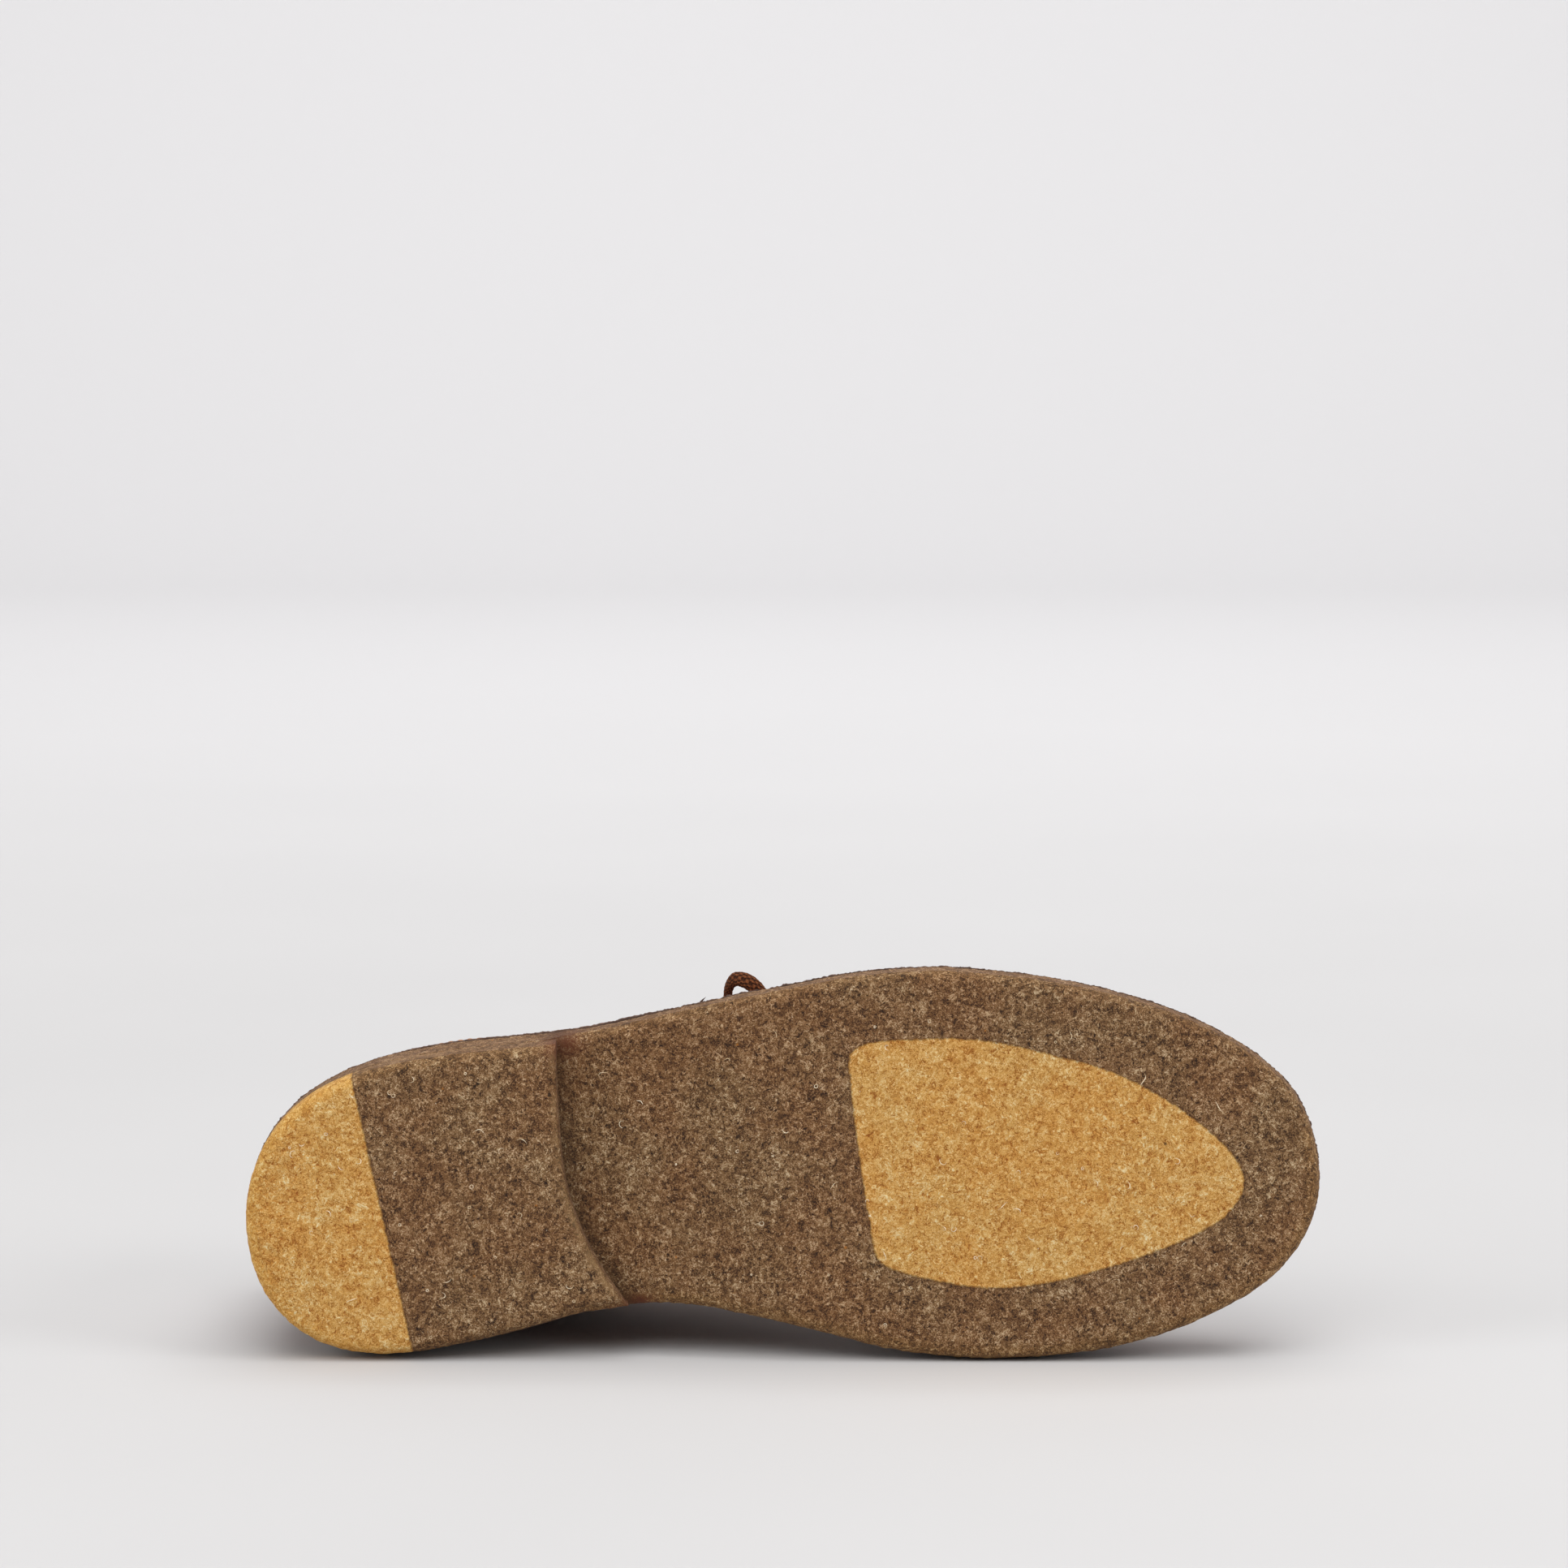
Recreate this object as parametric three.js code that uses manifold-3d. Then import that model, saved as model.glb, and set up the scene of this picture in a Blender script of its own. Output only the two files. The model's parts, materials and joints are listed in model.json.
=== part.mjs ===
// A right desert boot: suede upper stitched down on a crepe runner with a crepe heel, lying on its medial side.
// The boot is drawn standing, in millimetres: X from the heel to the toe, Y to the medial side, Z up from the
// tread. Two groups then lay it down, and it tips until sole edge and upper both rest on the floor.
import * as THREE from "three";
import { ConvexHull } from "three/addons/math/ConvexHull.js";
import { mergeVertices } from "three/addons/utils/BufferGeometryUtils.js";
import Module from "manifold-3d";

const wasm = await Module();
wasm.setup();

const { clamp, lerp, smoothstep } = THREE.MathUtils;

// Gap between neighbouring pieces
const GAP = 0.3;

// Sole
const SOLE_LENGTH = 304;
const BALL_WIDTH = 110;
const HEEL_WIDTH = 84;
const RUNNER_THICKNESS = 10;
const HEEL_LIFT = 10;
const TOE_SPRING = 9;
const HEEL_FLARE = 2.5;
const FORE_FLARE = 0.8;
const EDGE_ROUND = 3;
const TOP_EDGE_ROUND = 0.8;
const BREAST_SWEEP_MEDIAL = 14;
const BREAST_SWEEP_LATERAL = 1.2;

// Upper
const COLLAR_HEIGHT = 98;
const TOE_HEIGHT = 29;
const ANKLE_WIDTH = 74;
const UPPER_WALL = 1.7;
const QUARTER_STEP = 1.2;
const BACKSTAY_STEP = 1;
const BACKSTAY_WIDTH = 18;
const FLANGE_WIDTH = 5;
const FLANGE_THICKNESS = 2;
const FLANGE_SETBACK = 0.2;
const COLLAR_DIP = 4.5;
const THROAT_WIDTH_LOW = 9;
const THROAT_WIDTH_TOP = 24;

// Tongue and insole
const TONGUE_THICKNESS = 2.2;
const TONGUE_WIDTH = 46;
const TONGUE_DROP = 5.2;
const TONGUE_START_DROP = 0.5;
const TONGUE_TAPER = 0.3;
const INSOLE_THICKNESS = 2.5;
const INSOLE_CLEARANCE = 2.2;

// Lace and eyelets
const LACE_DIAMETER = 3.6;
const LACE_SIDES = 8;
const EYELET_BORE = 4.6;
const EYELET_BARREL = 5.4;
const EYELET_RIM = 8.6;
const EYELET_RIM_THICKNESS = 0.8;
const EYELET_CLEARANCE = 0.35;
const EYELET_REACH = 15.5;
const EYELET_SIDES = 12;
const EYELET_CHAMFER = 0.3;
const PUNCH_LENGTH = 12;
const KNOT = { along: 10, across: 13, high: 9, above: 6.6 };

// Densities in kg per cubic millimetre, for where the boot's weight lies
const CREPE_DENSITY = 0.93e-6;
const SUEDE_DENSITY = 0.75e-6;

// Stations round half an outline
const STATIONS = 44;

// The sole's foot-side outline: share of the length, then shares of the width there on each side.
const OUTLINE = [
  { at: 0, lateral: -0.042, medial: 0.042 },
  { at: 0.0066, lateral: 0.113, medial: 0.204 },
  { at: 0.033, lateral: 0.286, medial: 0.367 },
  { at: 0.066, lateral: 0.387, medial: 0.455 },
  { at: 0.132, lateral: 0.479, medial: 0.513 },
  { at: 0.197, lateral: 0.511, medial: 0.502 },
  { at: 0.263, lateral: 0.517, medial: 0.463 },
  { at: 0.329, lateral: 0.506, medial: 0.403 },
  { at: 0.395, lateral: 0.502, medial: 0.378 },
  { at: 0.461, lateral: 0.498, medial: 0.396 },
  { at: 0.526, lateral: 0.492, medial: 0.43 },
  { at: 0.592, lateral: 0.496, medial: 0.478 },
  { at: 0.658, lateral: 0.493, medial: 0.513 },
  { at: 0.724, lateral: 0.465, medial: 0.524 },
  { at: 0.789, lateral: 0.422, medial: 0.517 },
  { at: 0.855, lateral: 0.357, medial: 0.482 },
  { at: 0.905, lateral: 0.287, medial: 0.435 },
  { at: 0.954, lateral: 0.186, medial: 0.358 },
  { at: 0.984, lateral: 0.085, medial: 0.265 },
  { at: 1, lateral: -0.109, medial: 0.109 },
];

// Where the width passes from heel to ball, and where the underside leaves heel, waist and forefoot
const WIDTH_BLEND = { from: 0.25, to: 0.6 };
const WAIST = { back: 0.3, front: 0.54 };
const SPRING_FROM = 0.77;
const BREAST = { at: 0.298, deepest: -0.11 };
const BREAST_HALF = { lateral: 0.54, medial: 0.38 };
const BREAST_STEPS = 22;

// How far behind and before the breast the sole's flare and its edge round change
const FLARE_BLEND = { back: 6, front: 8 };
const ROUND_BLEND = { back: 4, front: 8 };
const HIDDEN_ROUND = 0.3;
const ROUND_SHARE = 0.3;
const HEEL_SIDE_SHARE = 0.85;

// Slices of the upper, each a line in side view from the ridge or throat down to the feather line or, for the
// last rows, back to the heel seam. ridge is a share of the sole length and base one of the feather line. bulge is
// how far the heel seam leans from the line's end, as a share of the sole length. toe and leg are shares of the
// toe and collar heights above the sole, up the share of the collar height at the heel seam. follow says how far
// the slice takes its width from the feather line, wide is its share of the ankle width, low where it is widest,
// crown and foot how round its two ends are. lean is the share of the ball width that the ridge lies inward, and
// cuts the number of steps to the next row.
const SLICE_COLUMNS = [
  "ridge", "toe", "leg", "base", "bulge", "up", "follow", "wide", "low", "crown", "foot", "lean", "cuts",
];
const SLICES = [
  [0.983, 0, 0, 1, 0, 0, 1, 1, 0.7, 2.2, 2.2, 0.109, 3],
  [0.981, 0.3, 0, 0.991, 0, 0, 1, 1, 0.68, 2.25, 2.2, 0.107, 2],
  [0.972, 0.62, 0, 0.976, 0, 0, 1, 1, 0.66, 2.25, 2.2, 0.102, 2],
  [0.951, 0.88, 0, 0.952, 0, 0, 1, 1, 0.66, 2.2, 2.2, 0.095, 2],
  [0.918, 1, 0.02, 0.915, 0, 0, 1, 1, 0.68, 2.1, 2.2, 0.086, 1],
  [0.862, 1, 0.075, 0.85, 0, 0, 1, 1, 0.7, 2, 2.2, 0.077, 2],
  [0.796, 1, 0.145, 0.769, 0, 0, 1, 1, 0.72, 1.9, 2.2, 0.066, 2],
  [0.724, 1, 0.225, 0.68, 0, 0, 1, 1, 0.73, 1.82, 2.2, 0.054, 2],
  [0.658, 1, 0.315, 0.589, 0, 0, 1, 1, 0.73, 1.8, 2.2, 0.041, 2],
  [0.602, 1, 0.415, 0.493, 0, 0, 0.95, 1, 0.7, 1.8, 2.2, 0.03, 2],
  [0.556, 1, 0.515, 0.392, 0, 0, 0.8, 1, 0.64, 1.8, 2.2, 0.02, 2],
  [0.52, 1, 0.595, 0.289, 0, 0, 0.55, 1, 0.58, 1.82, 2.25, 0.014, 2],
  [0.49, 1, 0.655, 0.194, 0, 0, 0.3, 1, 0.54, 1.85, 2.3, 0.01, 1],
  [0.467, 1, 0.7, 0.105, 0, 0, 0.12, 1, 0.52, 1.9, 2.3, 0.01, 2],
  [0.447, 1, 0.735, 0.035, 0, 0, 0.03, 1, 0.51, 1.95, 2.3, 0.01, 2],
  [0.43, 1, 0.762, 0, 0, 0, 0, 1, 0.5, 2, 2.3, 0.01, 2],
  [0.415, 1, 0.79, 0, -0.0075, 0.27, 0, 0.985, 0.5, 2, 2.3, 0.01, 1],
  [0.402, 1, 0.815, 0, 0.0046, 0.54, 0, 0.97, 0.5, 2, 2.25, 0.01, 1],
  [0.391, 1, 0.845, 0, 0.0145, 0.82, 0, 0.985, 0.5, 2, 2.2, 0.01, 1],
  [0.381, 1, 0.88, 0, 0.0115, 1.1, 0, 1, 0.5, 2, 2.2, 0.01, 1],
].map((row) => Object.fromEntries(SLICE_COLUMNS.map((name, i) => [name, row[i]])));
const HEEL_SEAM_FROM = 15;
const PROFILE_STEPS = 6;
const FEATHER_FULLNESS = 1.03;
const BASE_TRIM = 1.8;
const HEEL_CENTRE = 0.03;

// Places on the slices: where the throat ends, the eyelets sit, the tongue runs and the knot is tied
const THROAT_END = 10;
const THROAT_TOP = 18;
const THROAT_OVERSHOOT = 1.3;
const EYELET_SLICES = [10.9, 13.5];
const TONGUE_SLICES = { from: 8.6, deep: 10.2, round: 17, to: 18.4 };
const KNOT_SLICE = 13.4;

// The front edge of the quarters and the collar line in side view, as shares of sole length and collar height
const QUARTER_EDGE = [
  { along: 0.4, up: -0.2 },
  { along: 0.47, up: 0.28 },
  { along: 0.56, up: 0.5 },
  { along: 0.57, up: 1 },
];

// The collar line in side view: how much of the dip it takes and how far it rises
const COLLAR_LINE = [
  { along: 0.02, dips: 0, rises: 0 },
  { along: 0.2, dips: 1, rises: 0 },
  { along: 0.36, dips: 0.45, rises: 0 },
  { along: 0.45, dips: 0, rises: 0.01 },
  { along: 0.7, dips: 0, rises: 0.2 },
];

// The bow in the boot's frame: the lateral loop that stands out over the sole's edge, the medial loop that hangs
// and two short ends. Each point was chosen by hand.
const LATERAL_LOOP = [
  [142.5, -3.5, 119.3],
  [142.2, -6.5, 122.6],
  [140.5, -14, 123.5],
  [139.2, -27, 117],
  [139, -39, 105.5],
  [139.9, -46.4, 96.5],
  [142.2, -48.9, 92],
  [145.4, -48.1, 90.4],
  [148.4, -45, 91],
  [150.9, -36, 96],
  [151.8, -20, 105.5],
  [150.4, -6.8, 114.4],
  [147.5, -3.5, 115.6],
];
const MEDIAL_LOOP = [
  [142.5, 5.7, 119.3],
  [142.2, 9, 122.4],
  [140.5, 17, 123],
  [139, 28, 117],
  [139.5, 36, 108],
  [142.5, 39.2, 101.5],
  [147, 38.2, 99.5],
  [150.5, 32, 102],
  [151.5, 21, 108],
  [150.4, 9.6, 114.2],
  [147.5, 5.7, 115.6],
];
const LATERAL_END = [
  [144.7, 0.1, 120],
  [144.6, -1, 123.8],
  [140.5, -7, 129],
  [133, -16, 130],
  [127, -25, 126],
  [123.5, -32.5, 118.5],
];
const MEDIAL_END = [
  [147.7, 2.1, 117.8],
  [150, 2.6, 121],
  [147, 7, 126.5],
  [139, 14, 130.5],
  [132, 22, 130],
  [127.5, 29.5, 125],
  [125.5, 35, 118.5],
];

// A smooth curve through rows of a table, read at any place along it.
function through(places, values, place) {
  const last = places.length - 1;
  let i = 0;
  while (i < last - 1 && place > places[i + 1]) i += 1;
  const rise = (k) => (values[k + 1] - values[k]) / (places[k + 1] - places[k]);
  const slope = (k) => {
    if (k === 0) return rise(0);
    if (k === last) return rise(last - 1);
    const before = places[k] - places[k - 1];
    const after = places[k + 1] - places[k];
    return (rise(k - 1) * after + rise(k) * before) / (before + after);
  };
  const span = places[i + 1] - places[i];
  const t = clamp((place - places[i]) / span, 0, 1);
  const blend = t * t * (3 - 2 * t);
  const leave = t * (1 - t) * (1 - t) * span * slope(i);
  const arrive = t * t * (t - 1) * span * slope(i + 1);
  return values[i] * (1 - blend) + values[i + 1] * blend + leave + arrive;
}

// Sole outline and heights
const turn = (share) => Math.acos(1 - 2 * clamp(share, 0, 1)) / Math.PI;
const alongAt = (t) => (SOLE_LENGTH * (1 - Math.cos(Math.PI * t))) / 2;
const OUTLINE_TURNS = OUTLINE.map((row) => turn(row.at));
const widthAt = (x) =>
  lerp(HEEL_WIDTH, BALL_WIDTH, smoothstep(x / SOLE_LENGTH, WIDTH_BLEND.from, WIDTH_BLEND.to));

function edgeAt(t, side) {
  const shares = OUTLINE.map((row) => (side < 0 ? row.lateral : row.medial));
  const x = alongAt(t);
  return new THREE.Vector2(x, side * through(OUTLINE_TURNS, shares, t) * widthAt(x));
}

// A point of the outline moved inward, square to the outline.
function insetEdge(t, side, inset) {
  const step = 1e-6;
  const ahead = edgeAt(Math.min(t + step, 1), side);
  const behind = edgeAt(Math.max(t - step, 0), side);
  const run = ahead.sub(behind).normalize();
  const inward = new THREE.Vector2(-run.y, run.x).multiplyScalar(-side);
  return edgeAt(t, side).addScaledVector(inward, inset);
}

function underside(x) {
  const lift = HEEL_LIFT * (1 - smoothstep(x, WAIST.back * SOLE_LENGTH, WAIST.front * SOLE_LENGTH));
  const forward = clamp((x / SOLE_LENGTH - SPRING_FROM) / (1 - SPRING_FROM), 0, 1);
  return lift + TOE_SPRING * forward * forward;
}
const soleTop = (x) => underside(x) + RUNNER_THICKNESS;

const nearBreast = (x, { back, front }) =>
  smoothstep(x, BREAST.at * SOLE_LENGTH - back, BREAST.at * SOLE_LENGTH + front);

// How far the sole's side has come in at a height: it flares out from the tread to the foot.
function flareAt(x, z) {
  const pastBreast = nearBreast(x, FLARE_BLEND);
  const whole = lerp(HEEL_FLARE, FORE_FLARE, pastBreast);
  const bottom = underside(x) * pastBreast;
  return (whole * (soleTop(x) - z)) / (soleTop(x) - bottom);
}

// Meshes and joins
function geometryOf(points, faces) {
  const geometry = new THREE.BufferGeometry();
  geometry.setAttribute("position", new THREE.Float32BufferAttribute(points.flatMap((p) => [p.x, p.y, p.z]), 3));
  geometry.setIndex(faces.flat());
  return geometry;
}

// A closed mesh as a solid: equal points are merged and faces that have closed up are dropped.
function solidOf(geometry) {
  const bare = new THREE.BufferGeometry();
  bare.setAttribute("position", geometry.getAttribute("position"));
  bare.setIndex(geometry.getIndex());
  const merged = mergeVertices(bare, 1e-3);
  const corners = Array.from(merged.index.array);
  const kept = [];
  for (let i = 0; i < corners.length; i += 3) {
    const [a, b, c] = corners.slice(i, i + 3);
    if (a !== b && b !== c && a !== c) kept.push(a, b, c);
  }
  const mesh = new wasm.Mesh({
    numProp: 3,
    vertProperties: new Float32Array(merged.attributes.position.array),
    triVerts: new Uint32Array(kept),
  });
  return new wasm.Manifold(mesh);
}

function geometryFrom(solid) {
  const mesh = solid.getMesh();
  const geometry = new THREE.BufferGeometry();
  geometry.setAttribute("position", new THREE.BufferAttribute(mesh.vertProperties, 3));
  geometry.setIndex(new THREE.BufferAttribute(mesh.triVerts, 1));
  return geometry;
}

// A solid between rings of the sole's outline, from its top ring to its bottom ring. Each ring gives the inset
// and the height at a place along the sole.
function ringSolid(rings) {
  const points = [];
  const faces = [];
  const at = (ring, side, i) => (ring * 2 + (side < 0 ? 0 : 1)) * (STATIONS + 1) + i;
  for (const ring of rings)
    for (const side of [-1, 1])
      for (let i = 0; i <= STATIONS; i += 1) {
        const t = i / STATIONS;
        const edge = insetEdge(t, side, ring.inset(alongAt(t)));
        points.push(new THREE.Vector3(edge.x, edge.y, ring.height(edge.x)));
      }
  const last = rings.length - 1;
  for (let i = 0; i < STATIONS; i += 1) {
    faces.push([at(0, -1, i), at(0, -1, i + 1), at(0, 1, i + 1)], [at(0, -1, i), at(0, 1, i + 1), at(0, 1, i)]);
    faces.push([at(last, -1, i), at(last, 1, i + 1), at(last, -1, i + 1)]);
    faces.push([at(last, -1, i), at(last, 1, i), at(last, 1, i + 1)]);
    for (let ring = 0; ring < last; ring += 1) {
      const [a, b, c, d] = [at(ring, -1, i), at(ring, -1, i + 1), at(ring + 1, -1, i + 1), at(ring + 1, -1, i)];
      faces.push([a, c, b], [a, d, c]);
      const [e, f, g, h] = [at(ring, 1, i), at(ring, 1, i + 1), at(ring + 1, 1, i + 1), at(ring + 1, 1, i)];
      faces.push([e, f, g], [e, g, h]);
    }
  }
  return solidOf(geometryOf(points, faces));
}

function makeOutsole() {
  const round = (x) => lerp(HIDDEN_ROUND, EDGE_ROUND, nearBreast(x, ROUND_BLEND));
  const side = (height) => ({ inset: (x) => flareAt(x, height(x)), height });
  return ringSolid([
    { inset: () => TOP_EDGE_ROUND, height: soleTop },
    { inset: () => 0, height: (x) => soleTop(x) - TOP_EDGE_ROUND },
    side((x) => underside(x) + round(x)),
    {
      inset: (x) => flareAt(x, underside(x)) + ROUND_SHARE * round(x),
      height: (x) => underside(x) + ROUND_SHARE * round(x),
    },
    { inset: (x) => flareAt(x, underside(x)) + round(x), height: underside },
  ]);
}

// The heel's front, a shallow curve across the waist that sweeps forward on the medial side.
function breastCurve(step) {
  const deepest = BREAST.deepest * BALL_WIDTH;
  const reach = BALL_WIDTH / 2;
  const points = [];
  for (let y = -reach; y <= reach; y += step) {
    const sweep = y > deepest ? BREAST_SWEEP_MEDIAL : BREAST_SWEEP_LATERAL;
    const medialHalf = HEEL_WIDTH * BREAST_HALF.medial - deepest;
    const half = y > deepest ? medialHalf : HEEL_WIDTH * BREAST_HALF.lateral + deepest;
    points.push(new THREE.Vector2(BREAST.at * SOLE_LENGTH + sweep * ((y - deepest) / half) ** 2, y));
  }
  return points;
}

function makeHeel() {
  const top = (x) => underside(x) - GAP;
  const block = ringSolid([
    { inset: (x) => Math.min(flareAt(x, top(x)), HEEL_FLARE), height: top },
    { inset: () => HEEL_FLARE * HEEL_SIDE_SHARE, height: () => EDGE_ROUND },
    { inset: () => HEEL_FLARE + ROUND_SHARE * EDGE_ROUND, height: () => ROUND_SHARE * EDGE_ROUND },
    { inset: () => HEEL_FLARE + EDGE_ROUND, height: () => 0 },
  ]);
  const front = breastCurve(BALL_WIDTH / BREAST_STEPS);
  const shape = new THREE.Shape([
    ...front,
    new THREE.Vector2(-BALL_WIDTH, front.at(-1).y),
    new THREE.Vector2(-BALL_WIDTH, front[0].y),
  ]);
  const keep = new THREE.ExtrudeGeometry(shape, { depth: HEEL_LIFT * 2, bevelEnabled: false });
  keep.translate(0, 0, -HEEL_LIFT / 2);
  return block.intersect(solidOf(keep));
}

// The feather line: where the upper meets the sole, inside the flange
const FEATHER_STATIONS = 240;
const feather = { lateral: [], medial: [] };
for (let i = 0; i <= FEATHER_STATIONS; i += 1) {
  feather.lateral.push(insetEdge(i / FEATHER_STATIONS, -1, FLANGE_WIDTH));
  feather.medial.push(insetEdge(i / FEATHER_STATIONS, 1, FLANGE_WIDTH));
}
function featherAt(line, x) {
  const last = line.length - 1;
  if (x <= line[0].x) return line[0].y;
  if (x >= line[last].x) return line[last].y;
  let i = 0;
  while (line[i + 1].x < x) i += 1;
  return lerp(line[i].y, line[i + 1].y, (x - line[i].x) / (line[i + 1].x - line[i].x));
}

// One slice of the upper at any place between the rows of the table.
const SLICE_PLACES = SLICES.map((row, i) => i);
const column = (key, v) => through(SLICE_PLACES, SLICES.map((row) => row[key]), v);
const FEATHER_TOE = insetEdge(1, -1, FLANGE_WIDTH).x;
const FEATHER_HEEL = insetEdge(0, -1, FLANGE_WIDTH).x;
function sliceAt(v) {
  const onSeam = v >= HEEL_SEAM_FROM;
  const baseRows = onSeam ? SLICES.slice(HEEL_SEAM_FROM) : SLICES.slice(0, HEEL_SEAM_FROM + 1);
  const places = baseRows.map((row, i) => i + (onSeam ? HEEL_SEAM_FROM : 0));
  const baseColumn = (key) => through(places, baseRows.map((row) => row[key]), v);
  const rise = baseColumn("up") * COLLAR_HEIGHT;
  const bx = lerp(FEATHER_HEEL, FEATHER_TOE, clamp(baseColumn("base"), 0, 1)) + baseColumn("bulge") * SOLE_LENGTH;
  const ax = v <= 0 ? bx : Math.min(column("ridge", v) * SOLE_LENGTH, FEATHER_TOE);
  const az = soleTop(ax) - BASE_TRIM + column("toe", v) * TOE_HEIGHT + column("leg", v) * COLLAR_HEIGHT;
  const lateral = featherAt(feather.lateral, bx);
  const medial = featherAt(feather.medial, bx);
  const seam = lerp(feather.lateral[0].y, HEEL_CENTRE * HEEL_WIDTH, clamp(rise / COLLAR_HEIGHT, 0, 1));
  const footHalf = onSeam ? 0 : (medial - lateral) / 2;
  const follow = column("follow", v);
  const wide = follow * FEATHER_FULLNESS * footHalf + ((1 - follow) * column("wide", v) * ANKLE_WIDTH) / 2;
  return {
    ridge: new THREE.Vector3(ax, column("lean", v) * BALL_WIDTH, az),
    base: new THREE.Vector3(bx, onSeam ? seam : (medial + lateral) / 2, soleTop(bx) - BASE_TRIM + rise),
    wide,
    footHalf,
    low: column("low", v),
    crown: column("crown", v),
    foot: column("foot", v),
  };
}

// A point of the upper's surface: u runs from -1 at the lateral base over 0 at the ridge to 1 at the medial base.
function surfacePoint(slice, u) {
  const part = Math.abs(u);
  let down;
  let half;
  if (part < 0.5) {
    const angle = part * Math.PI;
    down = slice.low * (1 - Math.cos(angle) ** (2 / slice.crown));
    half = slice.wide * Math.sin(angle) ** (2 / slice.crown);
  } else {
    const angle = (part - 0.5) * Math.PI;
    const fall = Math.min(Math.sin(angle), 1) ** 2;
    const kept = slice.wide > 0 ? (slice.footHalf / slice.wide) ** slice.foot : 1;
    down = slice.low + (1 - slice.low) * fall ** (1 / slice.foot);
    half = slice.wide * Math.max(1 - (1 - kept) * fall, 0) ** (1 / slice.foot);
  }
  const point = slice.ridge.clone().lerp(slice.base, down);
  point.y += Math.sign(u) * half;
  return point;
}

// The places of all slices and profile steps, and the outer grid with its normals
const PLACES = SLICES.flatMap((row, i) =>
  i === SLICES.length - 1 ? [i] : Array.from({ length: row.cuts }, (_, k) => i + k / row.cuts),
);
const COLUMNS = 4 * PROFILE_STEPS + 1;
const SEAM_ROW = PLACES.indexOf(HEEL_SEAM_FROM);
const outerGrid = PLACES.map((v) => {
  const slice = sliceAt(v);
  return Array.from({ length: COLUMNS }, (_, j) => surfacePoint(slice, j / (2 * PROFILE_STEPS) - 1));
});
const gridNormals = outerGrid.map((row) => row.map(() => new THREE.Vector3()));
function addNormal(corners) {
  const [a, b, c] = corners.map(([i, j]) => outerGrid[i][j]);
  const normal = b.clone().sub(a).cross(c.clone().sub(a));
  for (const [i, j] of corners) gridNormals[i][j].add(normal);
}
for (let i = 0; i < PLACES.length - 1; i += 1)
  for (let j = 0; j < COLUMNS - 1; j += 1) {
    addNormal([[i, j], [i, j + 1], [i + 1, j + 1]]);
    addNormal([[i, j], [i + 1, j + 1], [i + 1, j]]);
  }
gridNormals.forEach((row, i) => {
  const shared = new THREE.Vector3();
  if (i === 0) row.forEach((normal) => shared.add(normal));
  if (i >= SEAM_ROW) shared.add(row[0]).add(row[COLUMNS - 1]);
  if (i === 0) row.forEach((normal) => normal.copy(shared));
  if (i >= SEAM_ROW) {
    row[0].copy(shared);
    row[COLUMNS - 1].copy(shared);
  }
  if (i <= SEAM_ROW) {
    row[0].z = 0;
    row[COLUMNS - 1].z = 0;
  }
  if (i === 0) row.forEach((normal) => (normal.z = 0));
  row.forEach((normal) => normal.normalize());
});

const offsetGrid = (offset) =>
  outerGrid.map((row, i) => row.map((point, j) => point.clone().addScaledVector(gridNormals[i][j], offset)));

// A closed shell between two offsets of the upper's surface, open underneath and at the top.
function shell(outside, inside) {
  const sheets = [offsetGrid(outside), offsetGrid(inside)];
  const points = sheets.flat(2);
  const at = (sheet, i, j) => (sheet * PLACES.length + i) * COLUMNS + j;
  const faces = [];
  const last = PLACES.length - 1;
  const quad = (a, b, c, d) => faces.push([a, b, c], [a, c, d]);
  for (let i = 0; i < last; i += 1) {
    for (let j = 0; j < COLUMNS - 1; j += 1) {
      quad(at(0, i, j), at(0, i, j + 1), at(0, i + 1, j + 1), at(0, i + 1, j));
      quad(at(1, i, j), at(1, i + 1, j), at(1, i + 1, j + 1), at(1, i, j + 1));
    }
    if (i < SEAM_ROW) {
      quad(at(0, i, 0), at(0, i + 1, 0), at(1, i + 1, 0), at(1, i, 0));
      const edge = COLUMNS - 1;
      quad(at(0, i, edge), at(1, i, edge), at(1, i + 1, edge), at(0, i + 1, edge));
    }
  }
  for (let j = 0; j < COLUMNS - 1; j += 1)
    quad(at(0, last, j), at(0, last, j + 1), at(1, last, j + 1), at(1, last, j));
  return solidOf(geometryOf(points, faces));
}

const WALK_STEPS = 60;
const NEARBY = { u: 0.06, v: 0.1 };

// Any place on the upper: a distance round the slice from its ridge, and a height over the outer surface.
function onUpper(v, side, distance, height) {
  const slice = sliceAt(v);
  let u = 0;
  let gone = 0;
  let here = surfacePoint(slice, 0);
  while (gone < distance && u < 1) {
    const next = surfacePoint(slice, (u + 1 / WALK_STEPS) * side);
    const step = next.distanceTo(here);
    const share = Math.min(1, (distance - gone) / step);
    u += share / WALK_STEPS;
    gone += step * share;
    here = next;
  }
  const point = surfacePoint(slice, u * side);
  const across = surfacePoint(slice, u * side + NEARBY.u).sub(surfacePoint(slice, u * side - NEARBY.u));
  const ahead = surfacePoint(sliceAt(v + NEARBY.v), u * side);
  const along = ahead.sub(surfacePoint(sliceAt(v - NEARBY.v), u * side));
  const normal = across.cross(along).normalize();
  return { point: point.addScaledVector(normal, height), normal };
}

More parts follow.
